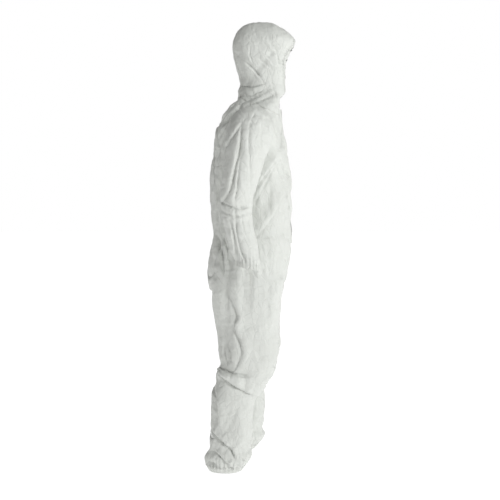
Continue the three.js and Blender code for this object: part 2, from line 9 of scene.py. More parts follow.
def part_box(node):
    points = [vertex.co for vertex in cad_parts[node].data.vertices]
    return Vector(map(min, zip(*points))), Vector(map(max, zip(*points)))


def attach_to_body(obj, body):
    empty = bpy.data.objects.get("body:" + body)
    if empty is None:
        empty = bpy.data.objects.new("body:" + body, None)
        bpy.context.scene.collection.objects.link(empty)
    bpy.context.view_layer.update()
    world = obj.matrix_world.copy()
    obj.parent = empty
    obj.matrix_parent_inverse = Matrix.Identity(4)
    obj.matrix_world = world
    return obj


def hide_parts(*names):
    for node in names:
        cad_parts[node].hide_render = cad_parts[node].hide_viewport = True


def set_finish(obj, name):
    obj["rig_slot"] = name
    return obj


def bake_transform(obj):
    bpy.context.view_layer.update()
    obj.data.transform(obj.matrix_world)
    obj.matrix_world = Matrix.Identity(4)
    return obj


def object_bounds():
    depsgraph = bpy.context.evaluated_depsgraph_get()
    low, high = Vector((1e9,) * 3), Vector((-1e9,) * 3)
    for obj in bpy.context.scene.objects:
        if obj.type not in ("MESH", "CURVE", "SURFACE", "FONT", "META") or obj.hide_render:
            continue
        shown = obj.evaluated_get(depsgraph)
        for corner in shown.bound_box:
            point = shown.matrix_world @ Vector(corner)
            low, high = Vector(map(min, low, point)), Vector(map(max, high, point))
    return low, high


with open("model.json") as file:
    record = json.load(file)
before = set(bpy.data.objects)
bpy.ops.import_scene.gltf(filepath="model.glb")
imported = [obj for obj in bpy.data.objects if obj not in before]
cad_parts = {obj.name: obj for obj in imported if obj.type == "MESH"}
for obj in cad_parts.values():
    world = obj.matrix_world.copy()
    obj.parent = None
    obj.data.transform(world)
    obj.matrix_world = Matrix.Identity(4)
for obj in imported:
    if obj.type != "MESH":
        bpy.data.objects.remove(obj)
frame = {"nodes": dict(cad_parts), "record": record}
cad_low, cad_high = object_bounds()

for name in ("Cube", "Light", "Camera"):
    if name in bpy.data.objects:
        bpy.data.objects.remove(bpy.data.objects[name])

# ---------- sizes, in metres
# The frame's origin is level with the shoulder axes. Outlines below count height up from the
# ankle hems, which is how such a garment is measured; SHOULDER brings them into the frame.
SHOULDER = -cad_low.z
CROTCH = 0.740
NECK_TOP = 1.480
ARMHOLE_X = 0.2002
ARMHOLE_Y = -0.008
ARMHOLE_R = 0.085
FACE = {"z": 1.592, "half_width": 0.066, "half_height": 0.064, "hem": 0.012}
WRIST_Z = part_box("wrist_hem_right")[0].z + SHOULDER
CELL = 0.0075


def up(z):
    return z - SHOULDER


def placed(name, data):
    """A new object that shows the data, in the scene."""
    obj = bpy.data.objects.new(name, data)
    bpy.context.scene.collection.objects.link(obj)
    return obj


# ---------- outlines
# height, back, front, half width
BODY = [
    (0.700, 0.157, -0.136, 0.190), (0.748, 0.166, -0.150, 0.196), (0.795, 0.169, -0.158, 0.197),
    (0.843, 0.161, -0.165, 0.194), (0.890, 0.149, -0.169, 0.188), (0.920, 0.138, -0.170, 0.185),
    (0.950, 0.139, -0.170, 0.183), (0.984, 0.146, -0.173, 0.184), (1.032, 0.150, -0.172, 0.186),
    (1.079, 0.153, -0.166, 0.187), (1.126, 0.153, -0.164, 0.186), (1.173, 0.150, -0.157, 0.184),
    (1.220, 0.143, -0.150, 0.184), (1.268, 0.138, -0.142, 0.188), (1.315, 0.130, -0.134, 0.190),
    (1.339, 0.122, -0.130, 0.190), (1.362, 0.110, -0.125, 0.187), (1.386, 0.104, -0.122, 0.180),
    (1.409, 0.090, -0.123, 0.164), (1.433, 0.064, -0.134, 0.128), (1.457, 0.050, -0.142, 0.094),
    (1.480, 0.046, -0.143, 0.083), (1.504, 0.037, -0.139, 0.083), (1.528, 0.039, -0.138, 0.086),
    (1.551, 0.047, -0.140, 0.091), (1.575, 0.054, -0.146, 0.097), (1.598, 0.059, -0.158, 0.102),
    (1.622, 0.063, -0.170, 0.106), (1.646, 0.063, -0.176, 0.108), (1.669, 0.059, -0.171, 0.106),
    (1.693, 0.050, -0.151, 0.095), (1.711, 0.037, -0.128, 0.080), (1.725, 0.016, -0.102, 0.058),
    (1.734, -0.016, -0.074, 0.030),
]
# height, front-to-back middle, half depth, half width, middle of the width from the centre
LEG = [
    (-0.04, 0.092, 0.058, 0.052, 0.128), (0.000, 0.092, 0.066, 0.056, 0.128),
    (0.014, 0.092, 0.074, 0.061, 0.128), (0.026, 0.092, 0.077, 0.066, 0.128),
    (0.040, 0.087, 0.088, 0.071, 0.128), (0.058, 0.077, 0.093, 0.074, 0.127),
    (0.080, 0.074, 0.084, 0.073, 0.127), (0.107, 0.073, 0.081, 0.073, 0.126),
    (0.174, 0.070, 0.081, 0.073, 0.124), (0.266, 0.067, 0.081, 0.074, 0.121),
    (0.311, 0.054, 0.089, 0.075, 0.118), (0.356, 0.025, 0.103, 0.077, 0.116),
    (0.402, 0.012, 0.112, 0.079, 0.114), (0.425, 0.001, 0.107, 0.081, 0.112),
    (0.448, 0.004, 0.114, 0.082, 0.111), (0.493, 0.006, 0.117, 0.084, 0.108),
    (0.584, 0.010, 0.127, 0.088, 0.104), (0.650, 0.012, 0.134, 0.090, 0.1025),
    (0.700, 0.010, 0.140, 0.091, 0.101), (0.760, 0.006, 0.146, 0.092, 0.100),
]
# inner side (from the armhole, and height), outer side, front-to-back middle, half depth
SLEEVE = [
    (-0.020, 1.235, -0.020, 1.405, -0.008, 0.085), (0.0002, 1.235, 0.0002, 1.405, -0.008, 0.085),
    (0.0090, 1.224, 0.042, 1.395, -0.004, 0.084), (0.0150, 1.196, 0.086, 1.359, 0.004, 0.080),
    (0.0190, 1.160, 0.118, 1.299, 0.014, 0.074), (0.0220, 1.124, 0.138, 1.219, 0.025, 0.068),
    (0.0250, 1.087, 0.145, 1.129, 0.037, 0.062), (0.0290, 1.055, 0.143, 1.055, 0.045, 0.058),
    (0.0340, 0.973, 0.140, 0.973, 0.037, 0.054), (0.0410, 0.890, 0.135, 0.890, 0.016, 0.052),
    (0.0480, 0.843, 0.132, 0.843, 0.005, 0.045), (0.0520, 0.820, 0.130, 0.820, 0.003, 0.041),
    (0.0520, 0.780, 0.130, 0.780, 0.003, 0.039),
]
STRIDE = 0.043  # the left hem is this far in front of the right one
LEFT_FRONT = [(0.000, 0.004), (0.020, 0.020), (0.070, 0.014), (0.150, 0.020), (0.230, 0.022),
              (0.300, 0.010), (0.380, 0.000)]  # how much farther forward the left leg's cloth hangs


def smooth_rows(rows, step):
    """The rows with a Catmull-Rom curve through them, sampled about every step along the way."""
    rows = np.array(rows, float)
    gaps = np.linalg.norm(np.diff(rows, axis=0), axis=1)
    out = []
    for i, gap in enumerate(gaps):
        p0, p1, p2, p3 = rows[max(i - 1, 0)], rows[i], rows[i + 1], rows[min(i + 2, len(rows) - 1)]
        for t in np.arange(0, 1, min(1.0, step / gap)):
            out.append(0.5 * (2 * p1 + (p2 - p0) * t + (2 * p0 - 5 * p1 + 4 * p2 - p3) * t * t
                              + (3 * p1 - 3 * p2 + p3 - p0) * t ** 3))
    return np.array(out + [rows[-1]])


def superellipse(count, power):
    angle = np.linspace(0, 2 * math.pi, count, endpoint=False)
    c, s = np.cos(angle), np.sin(angle)
    return np.sign(c) * abs(c) ** (2 / power), np.sign(s) * abs(s) ** (2 / power)


def smoothstep(x, low, high):
    t = np.clip((x - low) / (high - low), 0, 1)
    return t * t * (3 - 2 * t)


def zip_line(z):
    """How far forward the zip lies at a height, from the CAD's own tape."""
    low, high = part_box("zip_tape_right")
    share = (z - SHOULDER - low.z) / (high.z - low.z)
    return low.y + (high.y - low.y) * share


def body_rings():
    rings = []
    for z, back, front, half in smooth_rows(BODY, 0.012):
        across, along = superellipse(96, 2.6)
        x, y = across * half, (back + front) / 2 + along * (back - front) / 2
        flat = zip_line(z)
        keep = np.maximum(smoothstep(abs(x), 0.036, 0.100), smoothstep(z, 1.430, 1.465))
        y = np.where((along < 0) & (flat > y), flat + (y - flat) * keep, y)
        bulge = 0.012 * max(0, 1 - ((z - 1.170) / 0.19) ** 2)
        y = np.where(along < 0, y - bulge * np.exp(-((abs(x) - 0.075) / 0.030) ** 2), y)
        cheek = max(0, 1 - ((z - 1.565) / 0.055) ** 2)
        y = np.where(along < 0, y - 0.012 * cheek * np.exp(-((abs(x) - 0.070) / 0.022) ** 2), y)
        rings.append(np.stack([x, y, np.full_like(x, up(z))], axis=1))
    return rings


def leg_rings(side):
    rings = []
    for z, y, depth, half, off in smooth_rows(LEG, 0.012):
        across, along = superellipse(64, 2.2 + 0.6 * smoothstep(z, 0.55, 0.72))
        step = STRIDE * max(0, 1 - z / CROTCH) if side > 0 else 0
        front = np.interp(z, *zip(*LEFT_FRONT)) if side > 0 else 0
        rings.append(np.stack([side * off + across * half,
                               y - step + along * depth + front * np.minimum(along, 0),
                               np.full_like(across, up(z))], axis=1))
    return rings


def sleeve_rings(side):
    rings = []
    for x_in, z_in, x_out, z_out, y, depth in smooth_rows(SLEEVE, 0.012):
        inner = np.array([side * (0.2 + x_in), y, up(z_in)])
        outer = np.array([side * (0.2 + x_out), y, up(z_out)])
        across, along = superellipse(48, 2)
        rings.append((inner + outer) / 2 + across[:, None] * (outer - inner) / 2
                     + along[:, None] * np.array([0, depth, 0]))
    return rings


def stub_rings(side):
    """A short round tube from the trunk to the armhole."""
    angle = np.linspace(0, 2 * math.pi, 48, endpoint=False)
    return [np.stack([np.full_like(angle, side * x), ARMHOLE_Y + ARMHOLE_R * np.cos(angle),
                      ARMHOLE_R * np.sin(angle)], axis=1) for x in np.linspace(0.12, ARMHOLE_X, 8)]


def tube_faces(start, rings, count):
    """The sides of a tube made of rings of count vertices, and a cap at each end."""
    faces = []
    for i in range(rings - 1):
        for j in range(count):
            a, b = start + i * count + j, start + i * count + (j + 1) % count
            faces.append((a, b, b + count, a + count))
    last = start + (rings - 1) * count
    return faces + [tuple(range(start, start + count))[::-1], tuple(range(last, last + count))]


def add_tube(verts, faces, rings):
    faces.extend(tube_faces(len(verts), len(rings), len(rings[0])))
    for ring in rings:
        verts.extend(map(tuple, ring))


def evaluated(obj):
    depsgraph = bpy.context.evaluated_depsgraph_get()
    return bpy.data.meshes.new_from_object(obj.evaluated_get(depsgraph))


def base_mesh():
    """The whole garment as one closed skin of even cells."""
    verts, faces = [], []
    add_tube(verts, faces, body_rings())
    for side in (-1, 1):
        add_tube(verts, faces, leg_rings(side))
        add_tube(verts, faces, sleeve_rings(side))
        add_tube(verts, faces, stub_rings(side))
    mesh = bpy.data.meshes.new("base")
    mesh.from_pydata(verts, [], faces)
    obj = placed("base", mesh)
    bm = bmesh.new()
    bm.from_mesh(mesh)
    bmesh.ops.recalc_face_normals(bm, faces=bm.faces)
    bm.to_mesh(mesh)
    bm.free()
    remesh = obj.modifiers.new("even", "REMESH")
    remesh.mode = "VOXEL"
    remesh.voxel_size = CELL
    smooth = obj.modifiers.new("smooth", "SMOOTH")
    smooth.iterations = 5
    made = evaluated(obj)
    bpy.data.objects.remove(obj)
    return made


# ---------- cutting the skin along its seams
NECKLINE = (Vector((0, -0.105, up(1.380))), Vector((0, -0.436, 0.900)).normalized())
NECK_CUT = 1.457
LEG_SPLIT = 0.560
SLEEVE_SPLIT = 1.165
SIDE_Y = -0.006
SLOT_X = 0.0311
PANEL_X = 0.045
CHIN_TOP = 1.530
zip_low, zip_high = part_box("zip_tape_right")[0].z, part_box("zip_tape_right")[1].z
WRIST_HEM_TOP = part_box("wrist_hem_right")[1].z
ANKLE_HEM_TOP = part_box("ankle_hem_right")[1].z


def face_radius(x, z, grow=0.0):
    """1 on the edge of the face opening, or on that edge moved outwards by grow."""
    return math.hypot(x / (FACE["half_width"] + grow), (z - up(FACE["z"])) / (FACE["half_height"] + grow))


def cut(bm, point, normal, where, clear=False):
    """Cuts the faces that where() accepts along a plane, and clears what lies in front of it if asked."""
    faces = [f for f in bm.faces if where(f.calc_center_median())]
    parts = set(faces)
    for f in faces:
        parts.update(f.edges)
        parts.update(f.verts)
    bmesh.ops.bisect_plane(bm, geom=list(parts), dist=CELL / 5, plane_co=point, plane_no=normal,
                           clear_outer=clear)


def cut_seams(bm):
    x, y, z = Vector((1, 0, 0)), Vector((0, 1, 0)), Vector((0, 0, 1))
    sleeve = lambda c: abs(c.x) > 0.2025 and c.z < up(1.22)
    trunk = lambda c: abs(c.x) < 0.2 and c.z > up(CROTCH - 0.03)
    cut(bm, z * up(0), -z, lambda c: c.z < up(0.04), clear=True)
    cut(bm, z * up(WRIST_Z), -z, lambda c: sleeve(c) and c.z < up(0.86), clear=True)
    cut(bm, z * ANKLE_HEM_TOP, z, lambda c: c.z < up(0.06))
    cut(bm, z * WRIST_HEM_TOP, z, lambda c: sleeve(c) and c.z < up(0.88))
    for side in (-1, 1):
        cut(bm, x * side * ARMHOLE_X, x, lambda c: c.x * side > 0.18 and c.z > up(1.215))
        cut(bm, x * side * SLOT_X, x, lambda c: c.y < -0.08 and zip_low - 0.02 < c.z < zip_high + 0.02)
        cut(bm, x * side * PANEL_X, x, lambda c: c.z > up(NECK_CUT - 0.02))
        cut(bm, z * up(SLEEVE_SPLIT), z, lambda c: c.x * side > 0.2025 and c.z < up(1.22))
        cut(bm, z * up(LEG_SPLIT), z, lambda c: 0 < c.x * side < 0.2 and c.z < up(0.7))
    cut(bm, z * zip_low, z, lambda c: abs(c.x) < SLOT_X and c.y < -0.08)
    cut(bm, z * zip_high, z, lambda c: abs(c.x) < SLOT_X and c.y < -0.08)
    cut(bm, NECKLINE[0], NECKLINE[1], lambda c: abs(c.x) < 0.2 and c.z > up(1.34))
    cut(bm, z * up(NECK_CUT), z, lambda c: c.z > up(1.42) and abs(c.x) < 0.2)
    cut(bm, z * up(CHIN_TOP), z, lambda c: c.y < -0.09 and abs(c.x) < PANEL_X and c.z > up(1.5))
    cut(bm, z * up(CROTCH), z, lambda c: abs(c.x) < 0.2 and c.z < up(0.8))
    cut(bm, y * SIDE_Y, y, trunk)
    cut(bm, x * 0, x, lambda c: abs(c.x) < 0.03 and (c.z < zip_low + 0.02 or c.y > 0) and c.z < up(1.45))


def zone_of(c):
    """The name of the piece that a point of the uncreased skin belongs to, or None where it is open."""
    side = "right" if c.x < 0 else "left"
    height = c.z + SHOULDER
    if abs(c.x) > ARMHOLE_X and height > WRIST_Z - 0.001:
        if c.z < WRIST_HEM_TOP:
            return "wrist_hem_" + side
        return ("sleeve_upper_" if height > SLEEVE_SPLIT else "sleeve_lower_") + side
    if height < CROTCH:
        if c.z < ANKLE_HEM_TOP:
            return "ankle_hem_" + side
        return ("leg_upper_" if height > LEG_SPLIT else "leg_lower_") + side
    if (c - NECKLINE[0]).dot(NECKLINE[1]) < 0:
        if abs(c.x) < SLOT_X and c.y < -0.08 and c.z > zip_low:
            return None
        return ("front_panel_" if c.y < SIDE_Y else "back_panel_") + side
    if height < NECK_CUT:
        return None if abs(c.x) < SLOT_X and c.y < -0.08 and c.z < zip_high else "collar"
    if c.y < -0.06:
        if face_radius(c.x, c.z) < 1:
            return None
        if face_radius(c.x, c.z, FACE["hem"]) < 1:
            return "face_hem"
        if abs(c.x) < PANEL_X and height < CHIN_TOP:
            return "chin_panel"
    return "hood_centre_panel" if abs(c.x) < PANEL_X else "hood_panel_" + side


def snap_to_face(bm):
    """Moves the vertices that lie near the face opening's two edges on to them."""
    for v in bm.verts:
        if v.co.y < -0.06 and v.co.z > up(NECK_CUT):
            for grow in (0.0, FACE["hem"]):
                r = face_radius(v.co.x, v.co.z, grow)
                if abs(r - 1) * FACE["half_width"] < CELL * 0.5:
                    v.co.x /= r
                    v.co.z = up(FACE["z"]) + (v.co.z - up(FACE["z"])) / r


def cut_skin(mesh):
    bm = bmesh.new()
    bm.from_mesh(mesh)
    cut_seams(bm)
    snap_to_face(bm)
    names = []
    layer = bm.faces.layers.int.new("zone")
    gone = []
    for f in bm.faces:
        name = zone_of(f.calc_center_median())
        if name is None:
            gone.append(f)
            continue
        if name not in names:
            names.append(name)
        f[layer] = names.index(name)
    bmesh.ops.delete(bm, geom=gone, context="FACES")
    bmesh.ops.dissolve_degenerate(bm, edges=bm.edges, dist=0.0004)
    bm.to_mesh(mesh)
    bm.free()
    return names


skin = base_mesh()
zones = cut_skin(skin)


# ---------- the cloth's own folds
def coordinates(mesh):
    co = np.empty(len(mesh.vertices) * 3, np.float32)
    mesh.vertices.foreach_get("co", co)
    return co.reshape(-1, 3).astype(float)


def near(x, middle, reach):
    """1 at the middle, falling to 0 at reach from it."""
    return 1 - smoothstep(abs(x - middle), 0, reach)


def hold(co):
    """How firmly each point keeps its place: fully at hems, zip and armholes, loosely elsewhere."""
    x, y, h = co[:, 0], co[:, 1], co[:, 2] + SHOULDER
    near_armhole = 1 - smoothstep(abs(abs(x) - ARMHOLE_X), 0.010, 0.040)
    near_armhole[h < 1.215] = 0
    face = np.hypot(x / 0.078, (h - FACE["z"]) / 0.076)
    firm = np.maximum.reduce([
        0.9 * near_armhole,
        (1 - smoothstep(abs(x), 0.034, 0.060)) * (y < -0.08) * (h < 1.46) * (h > 0.84),
        1 - smoothstep(h, 0.010, 0.045),
        (abs(x) > 0.2) * (1 - smoothstep(h, WRIST_Z + 0.008, WRIST_Z + 0.035)),
        (y < -0.08) * (h > 1.47) * (1 - smoothstep(face, 1.0, 1.35)),
    ])
    return np.clip(BASE_HOLD + firm, 0, 1)


BASE_HOLD = 0.07
SLACK_AROUND = 1.06  # how much wider the cloth is than what it hangs on
SLACK_DOWN = [(0.06, 0.08, 0.10), (0.40, 0.10, 0.09), (0.98, 0.14, 0.04), (1.43, 0.06, 0.05)]
SIM_FRAMES = 16


def slack_shape(co):
    """The cloth's unstrained shape: wider all round, and longer where it piles up at the joints."""
    grid = np.linspace(-0.1, 1.9, 400)
    growth = 1.005 + sum(more * near(grid, z, reach) for z, reach, more in SLACK_DOWN)
    height = np.cumsum(growth) * (grid[1] - grid[0])
    out = co.copy()
    out[:, :2] *= SLACK_AROUND
    out[:, 2] = np.interp(co[:, 2] + SHOULDER, grid, height)
    return out


def crumple(mesh):
    """The cloth is a little larger than the shape it is held to, so it settles into folds."""
    obj = placed("garment", mesh)
    co = coordinates(mesh)
    group = obj.vertex_groups.new(name="hold")
    steps = np.round(hold(co) * 50).astype(int)
    for value in np.unique(steps):
        group.add(np.nonzero(steps == value)[0].tolist(), value / 50, "REPLACE")
    obj.shape_key_add(name="worn")
    slack = obj.shape_key_add(name="slack")
    slack.data.foreach_set("co", slack_shape(co).astype(np.float32).ravel())
    cloth = obj.modifiers.new("cloth", "CLOTH")
    s = cloth.settings
    s.rest_shape_key = slack
    s.quality = 4
    s.mass = 0.15
    s.tension_stiffness = 40
    s.compression_stiffness = 40
    s.shear_stiffness = 15
    s.bending_stiffness = 1.6
    s.tension_damping = s.compression_damping = s.shear_damping = 8
    s.air_damping = 3
    s.vertex_group_mass = "hold"
    s.pin_stiffness = 3
    s.effector_weights.gravity = 0.25
    cloth.collision_settings.use_collision = False
    scene = bpy.context.scene
    cloth.point_cache.frame_start, cloth.point_cache.frame_end = 1, SIM_FRAMES
    for f in range(1, SIM_FRAMES + 1):
        scene.frame_set(f)
    made = evaluated(obj)
    scene.frame_set(1)
    bpy.data.objects.remove(obj)
    return made


def refined(mesh):
    """The skin with every face divided into four, rounded a little between them."""
    obj = placed("fine", mesh)
    fine = obj.modifiers.new("fine", "SUBSURF")
    fine.levels = fine.render_levels = 1
    made = evaluated(obj)
    bpy.data.objects.remove(obj)
    return made


def crumpled(mesh):
    """The simulated cloth, with its folds kept small on the hood."""
    smooth = coordinates(mesh)
    settled = crumple(mesh)
    share = 0.9 - 0.6 * smoothstep(smooth[:, 2] + SHOULDER, 1.43, 1.50)
    co = smooth + (coordinates(settled) - smooth) * share[:, None]
    settled.vertices.foreach_set("co", co.astype(np.float32).ravel())
    return settled


skin = crumpled(skin)
skin = refined(skin)


# ---------- creases, gathers and fine wrinkles
class Skin:
    """The skin as arrays: places, normals, four-sided faces and the zone of each face."""

    def __init__(self, mesh):
        self.mesh = mesh
        self.co = coordinates(mesh)
        loops = np.empty(len(mesh.loops), np.int32)
        mesh.loops.foreach_get("vertex_index", loops)
        self.faces = loops.reshape(-1, 4)
        self.zone = np.empty(len(mesh.polygons), np.int32)
        mesh.attributes["zone"].data.foreach_get("value", self.zone)
        self.find_normals()

    def find_normals(self):
        a, b, c, d = (self.co[self.faces[:, i]] for i in range(4))
        flat = np.cross(c - a, d - b)
        total = np.zeros_like(self.co)
        for i in range(4):
            np.add.at(total, self.faces[:, i], flat)
        self.normal = total / np.maximum(np.linalg.norm(total, axis=1), 1e-12)[:, None]

    def of(self, *names):
        """Which points belong to zones whose names start with any of these."""
        chosen = [i for i, z in enumerate(zones) if z.startswith(names)]
        inside = np.zeros(len(self.co), bool)
        inside[self.faces[np.isin(self.zone, chosen)]] = True
        return inside

    def push(self, amount):
        self.co += self.normal * amount[:, None]


cloth = Skin(skin)
TRUNK = ("front_panel", "back_panel", "collar")
LEGS = ("leg_", "ankle_hem")
SLEEVES = ("sleeve_", "wrist_hem")
HOOD = ("hood_", "chin_panel", "face_hem")


def along_line(points, u, v):
    """Each point's signed distance from a line through the given places, and its share of the way."""
    points = smooth_rows(points, 0.02)
    best = np.full(len(u), np.inf)
    signed, share = np.zeros(len(u)), np.zeros(len(u))
    lengths = np.linalg.norm(np.diff(points, axis=0), axis=1)
    total, gone = lengths.sum(), 0.0
    for a, b, length in zip(points, points[1:], lengths):
        way = (b - a) / max(length, 1e-9)
        t = np.clip((u - a[0]) * way[0] + (v - a[1]) * way[1], 0, length)
        du, dv = u - a[0] - way[0] * t, v - a[1] - way[1] * t
        distance = np.hypot(du, dv)
        closer = distance < best
        best = np.where(closer, distance, best)
        signed = np.where(closer, np.sign(way[0] * dv - way[1] * du) * distance, signed)
        share = np.where(closer, (gone + t) / total, share)
        gone += length
    return signed, share


def crease(points, depth, width, parts, view="right", sharp=True):
    """A fold pressed along a line drawn on one side of the garment: a sharp valley with the cloth
    standing higher on one side of it, or a soft swell or hollow if it isn't sharp.
    Places are (towards the back, up) on the sides and (towards the left, up) on the front and back."""
    x, y, h = cloth.co[:, 0], cloth.co[:, 1], cloth.co[:, 2] + SHOULDER
    across = {"right": y, "left": y, "front": x, "back": x}[view]
    facing = {"right": -cloth.normal[:, 0], "left": cloth.normal[:, 0],
              "front": -cloth.normal[:, 1], "back": cloth.normal[:, 1]}[view]
    inside = parts_mask[parts] & (facing > -0.1)
    if view in ("right", "left"):
        inside &= (x < 0) == (view == "right")
    chosen = np.nonzero(inside)[0]
    signed, share = along_line(points, across[chosen], h[chosen])
    taper = np.sqrt(np.clip(np.sin(np.pi * np.clip(share * 0.94 + 0.03, 0, 1)), 0, 1))
    if sharp:
        raised = 0.75 * np.exp(-abs(signed) / (1.8 * width)) * smoothstep(signed, -0.002, 0.004)
        shape = raised - 1.15 * np.exp(-abs(signed) / (0.34 * width))
        shape *= 1.15 + 0.25 * np.sin(share * 17 + depth * 1e4)
    else:
        shape = np.exp(-(signed / width) ** 2)
    amount = np.zeros(len(x))
    amount[chosen] = depth * shape * taper * smoothstep(facing[chosen], -0.1, 0.35) * calm[chosen]
    cloth.push(amount)


parts_mask = {"trunk": cloth.of(*TRUNK), "legs": cloth.of(*LEGS), "sleeves": cloth.of(*SLEEVES),
              "hood": cloth.of(*HOOD), "body": cloth.of(*TRUNK, *LEGS), "neck": cloth.of(*HOOD, *TRUNK)}


def calm_places(co):
    """0 where the cloth must keep its shape, at the armholes, the zip and the hems, and 1 elsewhere."""
    x, y, h = co[:, 0], co[:, 1], co[:, 2] + SHOULDER
    armhole = np.where(h > 1.20, smoothstep(abs(abs(x) - ARMHOLE_X), 0.002, 0.030), 1)
    zipped = np.where((y < -0.08) & (h > 0.86) & (h < 1.46), smoothstep(abs(x), 0.034, 0.075), 1)
    wrist = np.where(abs(x) > 0.2, smoothstep(h, WRIST_Z, WRIST_Z + 0.030), 1)
    return armhole * zipped * wrist * smoothstep(h, 0.0, 0.030)


calm = calm_places(cloth.co)

# Drawn on the right side; the left repeats them a little lower and shallower.
SIDE_FOLDS = [
    ("sleeves", [(0.028, 1.335), (0.036, 1.244), (0.047, 1.200), (0.068, 1.107), (0.098, 1.062)],
     0.011, 0.014),
    ("sleeves", [(0.034, 1.210), (0.040, 1.150), (0.044, 1.105), (0.056, 1.058)], 0.007, 0.010),
    ("sleeves", [(0.104, 1.064), (0.048, 1.040), (-0.006, 1.046)], 0.007, 0.010),
    ("sleeves", [(0.098, 1.030), (0.052, 1.012), (0.006, 1.020)], 0.004, 0.010),
    ("sleeves", [(0.050, 1.050), (0.046, 0.965), (0.036, 0.911), (0.025, 0.872), (0.004, 0.822)],
     0.007, 0.010),
    ("sleeves", [(0.070, 1.000), (0.058, 0.955), (0.050, 0.890), (0.043, 0.828)], 0.009, 0.011),
    ("sleeves", [(0.030, 1.046), (0.018, 0.960), (0.000, 0.920)], 0.004, 0.009),
    ("sleeves", [(0.026, 1.345), (0.056, 1.300), (0.099, 1.242)], 0.007, 0.012),
    ("sleeves", [(-0.026, 1.390), (0.000, 1.320), (-0.004, 1.165), (-0.010, 1.070)], 0.004, 0.016),
    ("sleeves", [(-0.044, 1.350), (-0.042, 1.251), (-0.030, 1.160)], 0.003, 0.012),
    ("trunk", [(0.015, 1.425), (0.060, 1.385), (0.104, 1.330)], 0.006, 0.012),
    ("trunk", [(0.030, 1.405), (0.075, 1.360), (0.116, 1.285)], 0.007, 0.012),
    ("trunk", [(0.052, 1.420), (0.094, 1.370), (0.122, 1.320)], 0.005, 0.010),
    ("trunk", [(-0.136, 1.245), (-0.080, 1.160), (-0.022, 1.050)], 0.006, 0.018),
    ("trunk", [(-0.104, 1.215), (-0.060, 1.150), (-0.012, 1.090)], 0.005, 0.014),
    ("trunk", [(-0.129, 1.080), (-0.087, 0.996), (-0.030, 0.925)], 0.005, 0.018),
    ("trunk", [(-0.098, 1.386), (-0.126, 1.290), (-0.138, 1.219)], 0.005, 0.013),
    ("trunk", [(-0.032, 1.401), (-0.084, 1.352), (-0.115, 1.261)], 0.004, 0.012),
    ("trunk", [(0.005, 0.926), (-0.045, 0.920), (-0.100, 0.915)], 0.004, 0.010),
    ("trunk", [(-0.022, 0.908), (-0.034, 0.868), (-0.042, 0.824)], 0.004, 0.009),
    ("body", [(0.120, 0.922), (0.116, 0.892), (0.105, 0.828), (0.096, 0.780)], 0.010, 0.011),
    ("body", [(0.104, 0.930), (0.090, 0.880), (0.072, 0.812)], 0.007, 0.010),
    ("body", [(-0.010, 0.797), (-0.022, 0.778), (-0.034, 0.760)], 0.004, 0.006),
    ("legs", [(0.053, 0.412), (0.026, 0.490), (0.060, 0.579), (0.045, 0.625), (0.087, 0.721)],
     0.009, 0.017),
    ("legs", [(0.070, 0.450), (0.076, 0.480), (0.092, 0.520)], 0.005, 0.008),
    ("legs", [(0.084, 0.430), (0.092, 0.455), (0.104, 0.500)], 0.004, 0.008),
    ("legs", [(0.135, 0.416), (0.122, 0.412), (0.060, 0.397), (0.004, 0.385)], 0.012, 0.014),
    ("legs", [(-0.008, 0.310), (0.065, 0.353), (0.116, 0.388), (0.140, 0.400)], 0.012, 0.014),
    ("legs", [(-0.080, 0.365), (-0.061, 0.310), (-0.012, 0.286)], 0.009, 0.013),
    ("legs", [(0.123, 0.180), (0.123, 0.239), (0.130, 0.326)], 0.006, 0.014),
    ("legs", [(0.051, 0.058), (0.067, 0.096), (0.090, 0.117), (0.114, 0.137), (0.150, 0.166)],
     0.013, 0.015),
    ("legs", [(0.066, 0.022), (0.098, 0.057), (0.112, 0.074), (0.136, 0.088)], 0.009, 0.012),
    ("legs", [(0.030, 0.062), (0.014, 0.044), (0.004, 0.048)], 0.007, 0.010),
    ("hood", [(0.030, 1.588), (-0.014, 1.550), (-0.038, 1.525), (-0.058, 1.490)], 0.006, 0.009),
    ("hood", [(-0.004, 1.632), (-0.003, 1.598), (-0.016, 1.566)], 0.004, 0.008),
    ("hood", [(-0.045, 1.604), (-0.066, 1.596), (-0.086, 1.572)], 0.003, 0.007),
    ("hood", [(-0.034, 1.588), (-0.060, 1.570), (-0.090, 1.545)], 0.003, 0.007),
    ("hood", [(-0.078, 1.640), (-0.098, 1.622), (-0.112, 1.570)], 0.003, 0.008),
    ("neck", [(0.056, 1.492), (0.020, 1.486), (-0.014, 1.482), (-0.052, 1.492)], 0.007, 0.009),
    ("neck", [(0.030, 1.446), (-0.012, 1.450), (-0.056, 1.470)], 0.006, 0.010),
    ("neck", [(0.010, 1.428), (-0.030, 1.418), (-0.080, 1.378)], 0.004, 0.010),
    ("neck", [(-0.086, 1.492), (-0.100, 1.450), (-0.112, 1.400)], 0.004, 0.009),
]
